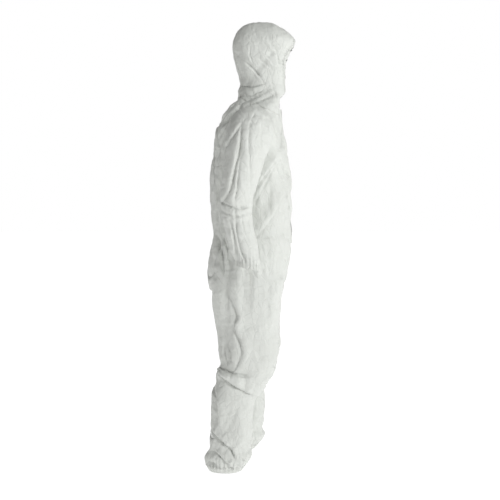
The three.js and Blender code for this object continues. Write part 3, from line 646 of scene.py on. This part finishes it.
SIDE_SWELLS = [  # broad rises and hollows
    ("body", [(0.102, 0.906), (0.090, 0.850), (0.074, 0.790)], -0.012, 0.022),
    ("legs", [(0.120, 0.640), (0.105, 0.560), (0.085, 0.450)], -0.015, 0.032),
    ("legs", [(0.070, 0.700), (0.028, 0.625), (0.040, 0.579), (0.006, 0.490), (0.030, 0.412)],
     0.007, 0.026),
    ("legs", [(0.165, 0.044), (0.125, 0.036)], -0.012, 0.014),
    ("legs", [(0.150, 0.014), (0.060, 0.008), (0.020, 0.012)], 0.006, 0.010),
    ("trunk", [(-0.060, 1.330), (-0.100, 1.200)], 0.005, 0.030),
    ("trunk", [(-0.140, 1.270), (-0.090, 1.190), (-0.034, 1.080)], 0.008, 0.022),
    ("trunk", [(-0.134, 1.120), (-0.095, 1.030), (-0.040, 0.955)], 0.008, 0.024),
    ("neck", [(0.046, 1.467), (-0.004, 1.465), (-0.052, 1.480)], 0.006, 0.012),
    ("legs", [(0.138, 0.404), (0.060, 0.376), (0.000, 0.348)], 0.008, 0.016),
]
FRONT_FOLDS = [
    ("trunk", [(0.150, 1.240), (0.100, 1.170), (0.060, 1.060)], 0.006, 0.015),
    ("trunk", [(0.160, 1.200), (0.120, 1.100), (0.090, 0.980)], 0.006, 0.016),
    ("trunk", [(0.070, 1.370), (0.110, 1.300), (0.150, 1.275)], 0.005, 0.013),
    ("trunk", [(0.060, 1.250), (0.085, 1.150), (0.075, 1.050)], 0.004, 0.015),
    ("trunk", [(0.165, 0.960), (0.110, 0.925), (0.070, 0.900)], 0.005, 0.013),
    ("body", [(0.008, 0.770), (0.060, 0.800), (0.130, 0.860)], 0.007, 0.014),
    ("body", [(0.020, 0.745), (0.080, 0.745), (0.150, 0.790)], 0.006, 0.014),
    ("legs", [(0.030, 0.700), (0.080, 0.640), (0.110, 0.520)], 0.006, 0.016),
    ("legs", [(0.070, 0.470), (0.110, 0.430), (0.160, 0.440)], 0.006, 0.013),
    ("legs", [(0.060, 0.390), (0.110, 0.350), (0.165, 0.370)], 0.007, 0.014),
    ("legs", [(0.070, 0.240), (0.120, 0.180), (0.160, 0.110)], 0.005, 0.013),
]
BACK_FOLDS = [
    ("trunk", [(0.040, 1.400), (0.090, 1.330), (0.140, 1.230)], 0.006, 0.014),
    ("trunk", [(0.030, 1.360), (0.060, 1.250), (0.120, 1.130)], 0.005, 0.015),
    ("trunk", [(0.160, 1.200), (0.120, 1.080), (0.110, 0.960)], 0.006, 0.015),
    ("trunk", [(0.050, 1.120), (0.040, 1.030), (0.060, 0.950)], 0.005, 0.014),
    ("body", [(0.010, 0.790), (0.060, 0.770), (0.140, 0.800)], 0.008, 0.015),
    ("body", [(0.020, 0.740), (0.090, 0.700), (0.160, 0.730)], 0.006, 0.014),
    ("legs", [(0.040, 0.690), (0.100, 0.600), (0.110, 0.500)], 0.005, 0.016),
    ("legs", [(0.050, 0.440), (0.110, 0.410), (0.170, 0.430)], 0.008, 0.014),
    ("legs", [(0.060, 0.390), (0.110, 0.350), (0.170, 0.320)], 0.007, 0.014),
    ("legs", [(0.080, 0.200), (0.130, 0.150), (0.180, 0.160)], 0.006, 0.013),
]


def moved(points, shift, mirror=False):
    return [(-u if mirror else u, v + shift) for u, v in points]


def add_folds():
    for parts, points, depth, width in SIDE_FOLDS:
        crease(points, depth, width, parts)
        crease(moved(points, -0.018), 0.8 * depth, width, parts, "left")
    for parts, points, depth, width in SIDE_SWELLS:
        crease(points, depth, width, parts, sharp=False)
        crease(moved(points, -0.015), 0.8 * depth, width, parts, "left", sharp=False)
    for view, folds in (("front", FRONT_FOLDS), ("back", BACK_FOLDS)):
        for parts, points, depth, width in folds:
            crease(points, depth, width, parts, view)
            crease(moved(points, -0.022, mirror=True), 0.85 * depth, width, parts, view)
    cloth.find_normals()


def gather(mask, middle_x, middle_y, pleats, height, strength):
    """Small radial pleats round an elasticated end, with uneven spacing."""
    x, y = cloth.co[:, 0] - middle_x, cloth.co[:, 1] - middle_y
    angle = np.arctan2(y, x)
    wander = 0.9 * np.sin(2 * angle + 1) + 0.6 * np.sin(5 * angle)
    wave = np.sin(pleats * angle + wander + 6 * height) + 0.4 * np.sin(1.7 * pleats * angle)
    cloth.push(np.where(mask, strength * wave, 0))


def add_gathers():
    h = cloth.co[:, 2] + SHOULDER
    for side, name in ((-1, "right"), (1, "left")):
        leg = parts_mask["legs"] & (cloth.co[:, 0] * side > 0)
        sleeve = parts_mask["sleeves"] & (cloth.co[:, 0] * side > 0)
        low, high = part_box("ankle_hem_" + name)
        gather(leg & (h < 0.16), (low.x + high.x) / 2, (low.y + high.y) / 2, 26, h,
               0.0020 * near(h, 0.022, 0.08) * smoothstep(h, -0.004, 0.02))
        low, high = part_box("wrist_hem_" + name)
        gather(sleeve & (h < WRIST_Z + 0.10), (low.x + high.x) / 2, (low.y + high.y) / 2, 19, h,
               0.0016 * near(h, WRIST_Z + 0.016, 0.06))
    back = parts_mask["trunk"] & (cloth.co[:, 1] > 0.02)
    x = cloth.co[:, 0]
    pleat = np.sin(x * 230 + 2 * np.sin(x * 40)) + 0.5 * np.sin(x * 410)
    cloth.push(np.where(back, 0.0028 * near(h, 0.935, 0.10) * pleat, 0))
    r = np.hypot(x / (FACE["half_width"] + 0.006), (h - FACE["z"]) / (FACE["half_height"] + 0.006))
    round_face = np.arctan2(h - FACE["z"], x)
    wave = np.sin(38 * round_face + 2 * np.sin(3 * round_face)) + 0.5 * np.sin(61 * round_face)
    front = smoothstep(-cloth.co[:, 1], 0.070, 0.115)
    cloth.push(np.where(parts_mask["hood"], 0.0020 * near(r, 1.0, 0.45) * wave * front, 0))
    cloth.find_normals()


def slant_wrists():
    """Each sleeve ends on a slant, lower at the front."""
    x, y, z = cloth.co.T
    sleeve = (abs(x) > ARMHOLE_X) & (z < up(0.95))
    middle = (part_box("wrist_hem_right")[0].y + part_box("wrist_hem_right")[1].y) / 2
    cloth.co[:, 2] += np.where(sleeve, 0.20 * (y - middle) * near(z, up(WRIST_Z), 0.10), 0)
    cloth.find_normals()


def ridged(points, octaves):
    return np.array([noise.ridged_multi_fractal(p, 0.9, 2.1, octaves, 1.0, 1.8) for p in points])


def add_fine_wrinkles():
    """Sharp little ridges running mostly along two slants, and soft unevenness between them."""
    x, y, z = cloth.co.T
    total = np.zeros(len(x))
    for slant, strength in ((1.2, 0.0008), (-0.3, 0.0005)):
        along, across = y * math.cos(slant) + z * math.sin(slant), z * math.cos(slant) - y * math.sin(slant)
        streaks = ridged(np.stack([along * 9, across * 26, x * 14], axis=1), 3)
        total += strength * (streaks - streaks.mean()) / streaks.std()
    cloth.push(np.clip(total, -0.003, 0.003) * (0.35 + 0.65 * calm))
    cloth.find_normals()


def true_armholes():
    """Brings the cut at each armhole exactly on to its circle, so that the sleeve can turn in it."""
    for side in (-1, 1):
        dx = abs(cloth.co[:, 0] * side - ARMHOLE_X)
        close = (dx < 0.030) & (cloth.co[:, 2] > up(1.20)) & (cloth.co[:, 0] * side > 0)
        y, z = cloth.co[:, 1] - ARMHOLE_Y, cloth.co[:, 2]
        radius, angle = np.hypot(y, z), np.arctan2(z, y)
        sleeve = cloth.of("sleeve_upper") & close
        trunk = cloth.of(*TRUNK) & close
        edge = np.nonzero(sleeve & trunk)[0]
        order = edge[np.argsort(angle[edge])]
        gap = np.interp(angle, angle[order], ARMHOLE_R - radius[order], period=2 * math.pi)
        fade = np.where(close, 1 - smoothstep(dx, 0.0, 0.030), 0)
        fade[edge] = 1
        scale = 1 + gap * fade / np.maximum(radius, 1e-6)
        cloth.co[:, 1] = ARMHOLE_Y + y * scale
        cloth.co[:, 2] = z * scale
        cloth.co[edge, 0] = side * ARMHOLE_X
    cloth.find_normals()


add_folds()
add_gathers()
slant_wrists()
add_fine_wrinkles()
true_armholes()


# ---------- pieces
def new_piece(name, verts, faces, normals=None):
    mesh = bpy.data.meshes.new(name)
    mesh.from_pydata(verts, [], faces)
    mesh.polygons.foreach_set("use_smooth", [True] * len(mesh.polygons))
    if normals is not None:
        loops = np.empty(len(mesh.loops), np.int32)
        mesh.loops.foreach_get("vertex_index", loops)
        mesh.normals_split_custom_set(normals[loops].tolist())
    return placed(name, mesh)


def edges_of(quads):
    return np.concatenate([quads[:, [i, (i + 1) % 4]] for i in range(4)])


def shell(name, chosen, thickness, lift=0.0):
    """The chosen faces of the skin as a piece of cloth of that thickness, its outside lifted a little."""
    quads = cloth.faces[chosen]
    used, quads = np.unique(quads, return_inverse=True)
    quads = quads.reshape(-1, 4)
    co, n = cloth.co[used], cloth.normal[used]
    count = len(used)
    edges = edges_of(quads)
    keys = np.sort(edges, axis=1)
    _, index, times = np.unique(keys, axis=0, return_index=True, return_counts=True)
    rim = edges[index[times == 1]]
    rims = np.stack([rim[:, 1], rim[:, 0], rim[:, 0] + count, rim[:, 1] + count], axis=1)
    faces = np.concatenate([quads, quads[:, ::-1] + count, rims])
    verts = np.concatenate([co + n * lift, co + n * (lift - thickness)])
    if name.startswith("sleeve_upper"):
        start = ARMHOLE_X + ARMHOLE_GAP
        verts[:, 0] = np.sign(verts[:, 0]) * np.maximum(abs(verts[:, 0]), start)
    return new_piece(name, verts.tolist(), faces.tolist(), np.concatenate([n, -n]))


def zone_faces(*names):
    return np.isin(cloth.zone, [i for i, z in enumerate(zones) if z.startswith(names)])


CLOTH = 0.0008
HEM = 0.0024
HEM_LIFT = 0.0008
ARMHOLE_GAP = 0.0012  # under the seam, between the trunk and the sleeve that turns beside it
made = {}


def cloth_pieces():
    for name in zones:
        hem = "hem" in name
        made[name] = shell(name + "_cloth", zone_faces(name), HEM if hem else CLOTH, HEM_LIFT if hem else 0)
        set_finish(made[name], "hem_fabric" if hem else "shell_fabric")
        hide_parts(name)


def middles():
    return cloth.co[cloth.faces].mean(axis=1)


def elastics():
    """Covered bands inside the hems and across the back of the waist."""
    c = middles()
    z = c[:, 2]
    low, high = (v.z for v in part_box("waist_elastic"))
    bands = {"waist_elastic": zone_faces("back_panel") & (z > low) & (z < high) & (c[:, 1] > 0.01)}
    bands["face_elastic"] = zone_faces("face_hem")
    for side in ("right", "left"):
        for hem in ("wrist", "ankle"):
            low, high = (v.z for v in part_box(f"{hem}_elastic_{side}"))
            bands[f"{hem}_elastic_{side}"] = zone_faces(f"{hem}_hem_{side}") & (z > low) & (z < high)
    for name, chosen in bands.items():
        made[name] = shell(name + "_band", chosen, 0.0012, -0.0022 if "waist" in name else -0.0028)
        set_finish(made[name], "elastic_web")
        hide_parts(name)


def chains(first, second):
    """The runs of points along the line where two groups of zones meet, each in order."""
    sides = []
    for group in (first, second):
        edges = edges_of(cloth.faces[zone_faces(*group)])
        sides.append({tuple(e) for e in np.sort(edges, axis=1).tolist()})
    links = {}
    for a, b in sides[0] & sides[1]:
        links.setdefault(a, []).append(b)
        links.setdefault(b, []).append(a)
    runs = []
    while links:
        start = min(links, key=lambda v: (len(links[v]) != 1, v))
        run = [start]
        while links.get(run[-1]):
            step = links[run[-1]].pop()
            links[step].remove(run[-1])
            run.append(step)
        for v in run:
            if not links.get(v):
                links.pop(v, None)
        if len(run) > 3:
            runs.append(run)
    return runs


SEAM_HALF_WIDTH = 0.0026
SEAM_HEIGHT = 0.0010
SEAM_PROFILE = [(-1.0, -0.3), (-0.8, 0.55), (-0.4, 0.95), (0.0, 0.8), (0.4, 0.95), (0.8, 0.55), (1.0, -0.3)]


def ribbon(name, runs):
    """A raised serged strip lying along runs of the skin's points."""
    verts, faces = [], []
    for run in runs:
        line, n = cloth.co[run], cloth.normal[run]
        closed = run[0] == run[-1]
        for _ in range(3):
            inner = (line[:-2] + 2 * line[1:-1] + line[2:]) / 4
            line = np.concatenate([line[:1], inner, line[-1:]])
        way = np.gradient(line, axis=0)
        if closed:
            way[0] = way[-1] = line[1] - line[-2]
        across = np.cross(n, way)
        across /= np.maximum(np.linalg.norm(across, axis=1), 1e-9)[:, None]
        faces.extend(tube_faces(len(verts), len(line), len(SEAM_PROFILE)))
        for i, place in enumerate(line):
            puff = 1 + 0.12 * math.sin(i * 2.4)
            for u, v in SEAM_PROFILE:
                verts.append(tuple(place + across[i] * u * SEAM_HALF_WIDTH + n[i] * v * SEAM_HEIGHT * puff))
    made[name] = new_piece(name + "_stitching", verts, faces)
    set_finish(made[name], "seam_thread")
    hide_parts(name)


def only(runs, accept):
    """The stretches of the runs whose points are accepted."""
    kept = []
    for run in runs:
        part = []
        for v in run + [None]:
            if v is not None and accept(cloth.co[v]):
                part.append(v)
            else:
                if len(part) > 3:
                    kept.append(part)
                part = []
    return kept


def seams():
    panels = ("front_panel", "back_panel")
    ribbon("neck_seam", only(chains(("collar",), panels), lambda p: abs(p[0]) > 0.044))
    ribbon("back_seam", chains(("back_panel_right",), ("back_panel_left",)))
    for side in ("right", "left"):
        ring = chains(("sleeve_upper_" + side,), panels)
        line = chains(("front_panel_" + side,), ("back_panel_" + side,))
        ribbon("armhole_seam_" + side, ring)
        ribbon("side_seam_" + side, only(line, lambda p: p[2] < up(1.22)))
        ribbon("shoulder_seam_" + side, only(line, lambda p: p[2] > 0))
        line = chains(("hood_panel_" + side,), ("hood_centre_panel", "chin_panel"))
        ribbon("hood_seam_" + side, line)


cloth_pieces()
elastics()
seams()


# ---------- storm flap, zip and label
ZIP_FOOT = Vector((0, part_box("zip_tape_right")[0].y, zip_low))
ZIP_HEAD = Vector((0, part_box("zip_tape_right")[1].y, zip_high))
ZIP_WAY = (ZIP_HEAD - ZIP_FOOT).normalized()
ZIP_OUT = Vector((0, -ZIP_WAY.z, ZIP_WAY.y))


def on_zip(x, out, z):
    """A point beside the zip, a distance out from its tape, at a height."""
    share = (z - ZIP_FOOT.z) / ZIP_WAY.z
    return Vector((x, 0, 0)) + ZIP_FOOT + ZIP_WAY * share + ZIP_OUT * out


def sheet_between(name, grid, thickness, slot_name):
    """A thin piece over a grid of points, with its back a thickness behind it."""
    rows, columns = len(grid), len(grid[0])
    front = [p for row in grid for p in row]
    back = [p - ZIP_OUT * thickness for p in front]
    faces = []
    for i in range(rows - 1):
        for j in range(columns - 1):
            a = i * columns + j
            faces.append((a, a + 1, a + columns + 1, a + columns))
            faces.append(tuple(v + rows * columns for v in (a + columns, a + columns + 1, a + 1, a)))
    edge = ([j for j in range(columns)] + [i * columns + columns - 1 for i in range(1, rows)]
            + [(rows - 1) * columns + j for j in range(columns - 2, -1, -1)]
            + [i * columns for i in range(rows - 2, 0, -1)])
    for a, b in zip(edge, edge[1:] + edge[:1]):
        faces.append((b, a, a + rows * columns, b + rows * columns))
    piece = new_piece(name, [tuple(p) for p in front + back], faces)
    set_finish(piece, slot_name)
    return piece


def flap_out(u, z):
    """How far the flap stands out from the tape across its width and along its length."""
    waves = 0.0010 * math.sin(z * 47) + 0.0008 * math.sin(z * 81 + 2) + 0.0006 * math.sin(z * 23 + u * 2)
    return 0.0084 + waves * (0.3 + 0.7 * abs(u)) + 0.0007 * (abs(abs(u) - 0.86) < 0.06)


def storm_flap():
    low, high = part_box("storm_flap")
    heights = np.linspace(low.z + 0.001, high.z - 0.001, 131)
    shares = np.linspace(-1, 1, 31)
    grid = [[on_zip(u * high.x, flap_out(u, z), z) for u in shares] for z in heights]
    piece = sheet_between("storm_flap_cloth", grid, 0.0013, "shell_fabric")
    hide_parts("storm_flap")
    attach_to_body(piece, "storm_flap")
    return piece


def flap_base():
    """The flap's sewn edge, folded down to the right front panel."""
    low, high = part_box("flap_base")
    heights = np.linspace(low.z + 0.001, high.z - 0.001, 131)
    shares = np.linspace(0, 1, 13)
    width = high.x - low.x - 0.0010
    rise = 0.0012 + 0.0060 * smoothstep(shares, 0.25, 0.85)
    grid = [[on_zip(low.x + s * width, out + 0.0004 * math.sin(z * 60), z) for s, out in zip(shares, rise)]
            for z in heights]
    piece = sheet_between("flap_base_cloth", grid, 0.0012, "shell_fabric")
    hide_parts("flap_base")
    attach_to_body(piece, "torso")
    return piece


def zip_teeth(side):
    """One row of the coil: a loop for each tooth, half round and lying across the tape's edge."""
    node = "zip_teeth_" + side
    low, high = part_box(node)
    middle = (low.x + high.x) / 2
    half = (high.x - low.x) / 2
    pitch, sides, ends = 0.0024, 8, (-1, -0.55, 0.55, 1)
    verts, faces = [], []
    count = int((high.z - low.z - 0.002) / pitch)
    for k in range(count):
        z = low.z + 0.0012 + k * pitch
        faces.extend(tube_faces(len(verts), len(ends), sides))
        for end in ends:
            size = 1.0 if abs(end) < 1 else 0.6
            for s in range(sides):
                a = 2 * math.pi * s / sides
                place = on_zip(middle + end * half, 0.0012 * size * math.sin(a), z)
                verts.append(tuple(place + ZIP_WAY * 0.00095 * size * math.cos(a)))
    piece = new_piece(node + "_coil", verts, faces)
    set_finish(piece, "zip_plastic")
    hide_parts(node)
    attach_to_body(piece, "torso")
    return piece


def care_label():
    """A blank satin label hanging inside the back of the neck."""
    low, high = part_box("care_label")
    heights = np.linspace(low.z, high.z, 25)
    across = np.linspace(low.x, high.x, 17)
    grid = []
    for z in heights:
        fall = (high.z - z) / (high.z - low.z)
        grid.append([Vector((x, low.y - 0.006 - 0.004 * fall ** 2 * math.cos(x * 60), z)) for x in across])
    piece = sheet_between("care_label_cloth", grid, 0.0005, "label_cloth")
    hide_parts("care_label")
    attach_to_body(piece, "torso")
    return piece


made["storm_flap"] = storm_flap()
made["flap_base"] = flap_base()
made["care_label"] = care_label()
made["zip_teeth_right"] = zip_teeth("right")
made["zip_teeth_left"] = zip_teeth("left")


# ---------- what moves with what
BLENDS = {  # first body, second body, and the heights where the first ends and the second takes over
    "hood_": ("torso", "hood", 1.458, 1.600), "chin_panel": ("torso", "hood", 1.458, 1.600),
    "face_": ("torso", "hood", 1.458, 1.600),
    "leg_upper": ("torso", "thigh", 0.740, 0.590), "leg_lower": ("thigh", "shin", 0.530, 0.340),
    "sleeve_lower": ("upper_arm", "forearm", 1.135, 0.975),
}
RIDES = {"ankle": "shin", "wrist": "forearm", "sleeve_upper": "upper_arm"}


def side_of(name):
    return name.rsplit("_", 1)[-1] if name.endswith(("_right", "_left")) else ""


def attach(name, piece):
    side = side_of(name)
    limb = lambda body: body if body in ("torso", "hood") else f"{body}_{side}"
    for start, (first, second, z_first, z_second) in BLENDS.items():
        if name.startswith(start):
            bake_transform(piece)
            return
    for start, body in RIDES.items():
        if name.startswith(start):
            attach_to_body(piece, limb(body))
            return
    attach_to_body(piece, "torso")


for name, piece in made.items():
    if name not in ("storm_flap", "flap_base", "care_label", "zip_teeth_right", "zip_teeth_left"):
        attach(name, piece)

# What each cloth piece was cut to, in metres: width, length, and the share of that rectangle it fills,
# how it is held, and what it hangs from.
CUT = {
    "front_panel": (0.300, 0.720, 0.79, "hung", ["shoulder_seam_{}_stitching"]),
    "back_panel": (0.320, 0.760, 0.84, "hung", ["shoulder_seam_{}_stitching"]),
    "collar": (0.560, 0.085, 0.78, "hung", ["neck_seam_stitching"]),
    "sleeve_upper": (0.540, 0.240, 0.70, "hung", ["armhole_seam_{}_stitching"]),
    "sleeve_lower": (0.430, 0.350, 0.82, "hung", ["sleeve_upper_{}_cloth"]),
    "wrist_hem": (0.260, 0.022, 1.00, "gathered", ["sleeve_lower_{}_cloth"]),
    "leg_upper": (0.720, 0.200, 0.95, "hung", ["front_panel_{}_cloth", "back_panel_{}_cloth"]),
    "leg_lower": (0.620, 0.570, 0.90, "hung", ["leg_upper_{}_cloth"]),
    "ankle_hem": (0.450, 0.030, 1.00, "gathered", ["leg_lower_{}_cloth"]),
    "hood_panel": (0.280, 0.310, 0.75, "hung", ["hood_seam_{}_stitching"]),
    "hood_centre_panel": (0.092, 0.540, 1.00, "hung", ["hood_panel_right_cloth", "hood_panel_left_cloth"]),
    "chin_panel": (0.092, 0.076, 0.92, "hung", ["hood_panel_right_cloth", "hood_panel_left_cloth"]),
    "face_hem": (0.440, 0.021, 1.00, "gathered", ["hood_panel_right_cloth", "hood_panel_left_cloth"]),
    "storm_flap": (0.055, 0.585, 1.00, "hung", ["flap_base_cloth"]),
    "flap_base": (0.014, 0.585, 1.00, "hung", ["front_panel_right_cloth"]),
    "care_label": (0.040, 0.060, 1.00, "hung", ["neck_seam_stitching"]),
}


def declare_cloth():
    for name, piece in made.items():
        side = side_of(name)
        kind = name[:-len(side) - 1] if side else name
        if kind not in CUT:
            continue


declare_cloth()


# ---------- materials
class Nodes:
    """Short names for building a material out of nodes."""

    def __init__(self, name):
        self.material = bpy.data.materials.new(name)
        self.material.use_nodes = True
        self.tree = self.material.node_tree
        self.shader = self.tree.nodes["Principled BSDF"]
        self.place = self.add("ShaderNodeTexCoord").outputs["Object"]

    def add(self, kind, inputs=None, **settings):
        node = self.tree.nodes.new(kind)
        for key, value in settings.items():
            setattr(node, key, value)
        for key, value in (inputs or {}).items():
            self.set(node, key, value)
        return node

    def set(self, node, key, value):
        if isinstance(value, bpy.types.NodeSocket):
            self.tree.links.new(value, node.inputs[key])
        else:
            node.inputs[key].default_value = value

    def stretched(self, scale, turn=(0, 0, 0)):
        node = self.add("ShaderNodeMapping", {"Vector": self.place, "Scale": scale, "Rotation": turn})
        return node.outputs["Vector"]

    def noise(self, vector, scale, detail=3.0, roughness=0.5, distortion=0.0):
        node = self.add("ShaderNodeTexNoise", {"Vector": vector, "Scale": scale, "Detail": detail,
                                               "Roughness": roughness, "Distortion": distortion})
        return node.outputs["Fac"]

    def ramp(self, value, low, high, first, last):
        node = self.add("ShaderNodeMapRange", {"Value": value, "From Min": low, "From Max": high,
                                               "To Min": first, "To Max": last})
        return node.outputs["Result"]

    def mix(self, share, first, second):
        node = self.add("ShaderNodeMix", data_type="RGBA")
        self.set(node, 0, share)
        self.set(node, 6, (*first, 1) if isinstance(first, tuple) else first)
        self.set(node, 7, (*second, 1) if isinstance(second, tuple) else second)
        return node.outputs[2]

    def math(self, operation, first, second):
        node = self.add("ShaderNodeMath", operation=operation)
        self.set(node, 0, first)
        self.set(node, 1, second)
        return node.outputs[0]

    def bump(self, height, strength, distance, under=None):
        node = self.add("ShaderNodeBump", {"Height": height, "Strength": strength, "Distance": distance})
        if under is not None:
            self.set(node, "Normal", under)
        return node.outputs["Normal"]

    def finish(self, **values):
        for key, value in values.items():
            self.set(self.shader, key.replace("_", " "), value)
        return self.material


def nonwoven(name, light, dark, crisp=1.0):
    """Flash-spun sheet: matt, faintly mottled by its swirling fibres, with crisp crumple lines."""
    n = Nodes(name)
    fibres = n.noise(n.stretched((1, 1, 0.35), (0.3, 0.5, 0.2)), 520, 4, 0.6, 1.6)
    clouds = n.noise(n.place, 14, 3, 0.55)
    squeezed = n.stretched((1, 1, 0.6), (0.4, 0.2, 0))
    cells = n.add("ShaderNodeTexVoronoi", {"Vector": squeezed, "Scale": 38}, feature="DISTANCE_TO_EDGE")
    lines = n.ramp(cells.outputs["Distance"], 0.0, 0.10, 0.0, 1.0)
    soft = n.noise(n.place, 55, 4, 0.6, 0.8)
    mottle = n.math("ADD", n.math("MULTIPLY", fibres, 0.55), n.math("MULTIPLY", clouds, 0.45))
    colour = n.mix(n.ramp(mottle, 0.35, 0.65, 0, 1), dark, light)
    normal = n.bump(n.math("MULTIPLY", lines, soft), 0.45 * crisp, 0.004)
    normal = n.bump(fibres, 0.22, 0.0004, normal)
    rough = n.ramp(mottle, 0.3, 0.7, 0.62, 0.50)
    return n.finish(Base_Color=colour, Roughness=rough, Normal=normal, Sheen_Weight=0.12,
                    Sheen_Roughness=0.4, Specular_IOR_Level=0.35)


def stitched(name, light, dark):
    n = Nodes(name)
    threads = n.add("ShaderNodeTexWave", {"Vector": n.place, "Scale": 210, "Distortion": 3, "Detail": 2},
                    wave_type="BANDS", bands_direction="DIAGONAL").outputs["Fac"]
    fuzz = n.noise(n.place, 900, 3)
    colour = n.mix(threads, dark, light)
    normal = n.bump(n.math("ADD", threads, n.math("MULTIPLY", fuzz, 0.4)), 0.6, 0.0006)
    return n.finish(Base_Color=colour, Roughness=n.ramp(fuzz, 0.3, 0.7, 0.8, 0.65), Normal=normal,
                    Sheen_Weight=0.2)


def woven(name, light, dark, pitch=700):
    n = Nodes(name)
    warp = n.add("ShaderNodeTexWave", {"Vector": n.place, "Scale": pitch, "Distortion": 0.6},
                 bands_direction="Z").outputs["Fac"]
    weft = n.add("ShaderNodeTexWave", {"Vector": n.place, "Scale": pitch * 0.8, "Distortion": 0.6},
                 bands_direction="X").outputs["Fac"]
    weave = n.math("MULTIPLY", warp, weft)
    colour = n.mix(weave, dark, light)
    return n.finish(Base_Color=colour, Roughness=n.ramp(weave, 0, 1, 0.85, 0.7),
                    Normal=n.bump(weave, 0.5, 0.0004), Sheen_Weight=0.25)


def moulded(name, light, dark, rough, metal=0.0):
    n = Nodes(name)
    spots = n.noise(n.place, 260, 4, 0.6)
    edge = n.noise(n.place, 40, 2)
    colour = n.mix(n.ramp(spots, 0.35, 0.65, 0, 1), dark, light)
    return n.finish(Base_Color=colour, Roughness=n.ramp(edge, 0.3, 0.7, rough - 0.08, rough + 0.08),
                    Normal=n.bump(spots, 0.12, 0.0003), Metallic=metal)


MATERIALS = {
    "shell_fabric": nonwoven("nonwoven", (0.695, 0.712, 0.680), (0.640, 0.655, 0.622)),
    "hem_fabric": nonwoven("nonwoven_hem", (0.680, 0.696, 0.662), (0.610, 0.624, 0.590), 1.4),
    "seam_thread": stitched("serged_thread", (0.680, 0.692, 0.655), (0.560, 0.570, 0.535)),
    "elastic_web": woven("covered_elastic", (0.80, 0.80, 0.77), (0.62, 0.62, 0.59), 500),
    "label_cloth": woven("satin_label", (0.84, 0.84, 0.82), (0.74, 0.74, 0.72), 1100),
    "zip_tape": woven("woven_tape", (0.74, 0.75, 0.72), (0.58, 0.59, 0.56)),
    "zip_plastic": moulded("nylon_coil", (0.72, 0.73, 0.71), (0.64, 0.65, 0.63), 0.42),
    "slider_metal": moulded("pale_enamel", (0.60, 0.61, 0.60), (0.50, 0.51, 0.50), 0.35, 0.55),
    "adhesive_tape": moulded("release_film", (0.80, 0.79, 0.74), (0.74, 0.73, 0.68), 0.25),
}
slots = {s["node"]: s["material_slot"] for s in frame["record"]["subparts"]}


def dress(obj, slot_name):
    obj.data.materials.clear()
    obj.data.materials.append(MATERIALS[slot_name])


for name, piece in made.items():
    dress(piece, piece["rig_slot"])
for name, obj in frame["nodes"].items():
    if name not in made:
        dress(obj, slots[name])

# ---------- camera, light and floor
def look(obj, at):
    obj.rotation_euler = (Vector(at) - obj.location).to_track_quat("-Z", "Y").to_euler()


camera = placed("camera", bpy.data.cameras.new("camera"))
camera.location = (-3.6, -0.004, -0.03)
camera.data.lens = 65.9
camera.data.sensor_width = 36
look(camera, (0, -0.004, -0.470))
bpy.context.scene.camera = camera


def area_light(name, place, at, size, power, colour=(1, 1, 1)):
    light = bpy.data.lights.new(name, "AREA")
    light.shape = "DISK"
    light.size = size
    light.energy = power
    light.color = colour
    obj = placed(name, light)
    obj.location = place
    look(obj, at)


def studio_world():
    """White behind everything, and a weaker even light from all round."""
    world = bpy.data.worlds.new("studio")
    world.use_nodes = True
    tree = world.node_tree
    seen = tree.nodes["Background"]
    seen.inputs["Color"].default_value = (1, 1, 1, 1)
    seen.inputs["Strength"].default_value = 1.0
    glow = tree.nodes.new("ShaderNodeBackground")
    glow.inputs["Color"].default_value = (1, 0.995, 0.98, 1)
    way = tree.nodes.new("ShaderNodeTexCoord").outputs["Generated"]
    split, fade = tree.nodes.new("ShaderNodeSeparateXYZ"), tree.nodes.new("ShaderNodeMapRange")
    for key, value in (("From Min", -1.0), ("From Max", 1.0), ("To Min", 0.46), ("To Max", 0.22)):
        fade.inputs[key].default_value = value
    tree.links.new(way, split.inputs[0])
    tree.links.new(split.outputs["Y"], fade.inputs["Value"])
    tree.links.new(fade.outputs["Result"], glow.inputs["Strength"])
    rays, mix = tree.nodes.new("ShaderNodeLightPath"), tree.nodes.new("ShaderNodeMixShader")
    tree.links.new(rays.outputs["Is Camera Ray"], mix.inputs[0])
    tree.links.new(glow.outputs[0], mix.inputs[1])
    tree.links.new(seen.outputs[0], mix.inputs[2])
    tree.links.new(mix.outputs[0], tree.nodes["World Output"].inputs["Surface"])
    bpy.context.scene.world = world


def pale_floor():
    size, height = 9, cad_low.z - 0.006
    mesh = bpy.data.meshes.new("floor")
    corners = [(x * size, y * size, height) for x, y in ((-1, -1), (1, -1), (1, 1), (-1, 1))]
    mesh.from_pydata(corners, [], [(0, 1, 2, 3)])
    obj = placed("floor", mesh)
    n = Nodes("white_floor")
    n.finish(Base_Color=(0.30, 0.30, 0.30, 1), Roughness=0.9, Emission_Color=(1, 1, 1, 1),
             Emission_Strength=0.97)
    mesh.materials.append(n.material)


area_light("key", (-2.8, -2.8, 1.5), (0, 0, -0.4), 1.2, 75, (0.99, 1, 1))
area_light("front", (-0.4, -3.6, 0.4), (0, 0, -0.5), 1.8, 18)
studio_world()
pale_floor()
bpy.context.scene.view_settings.view_transform = "Standard"
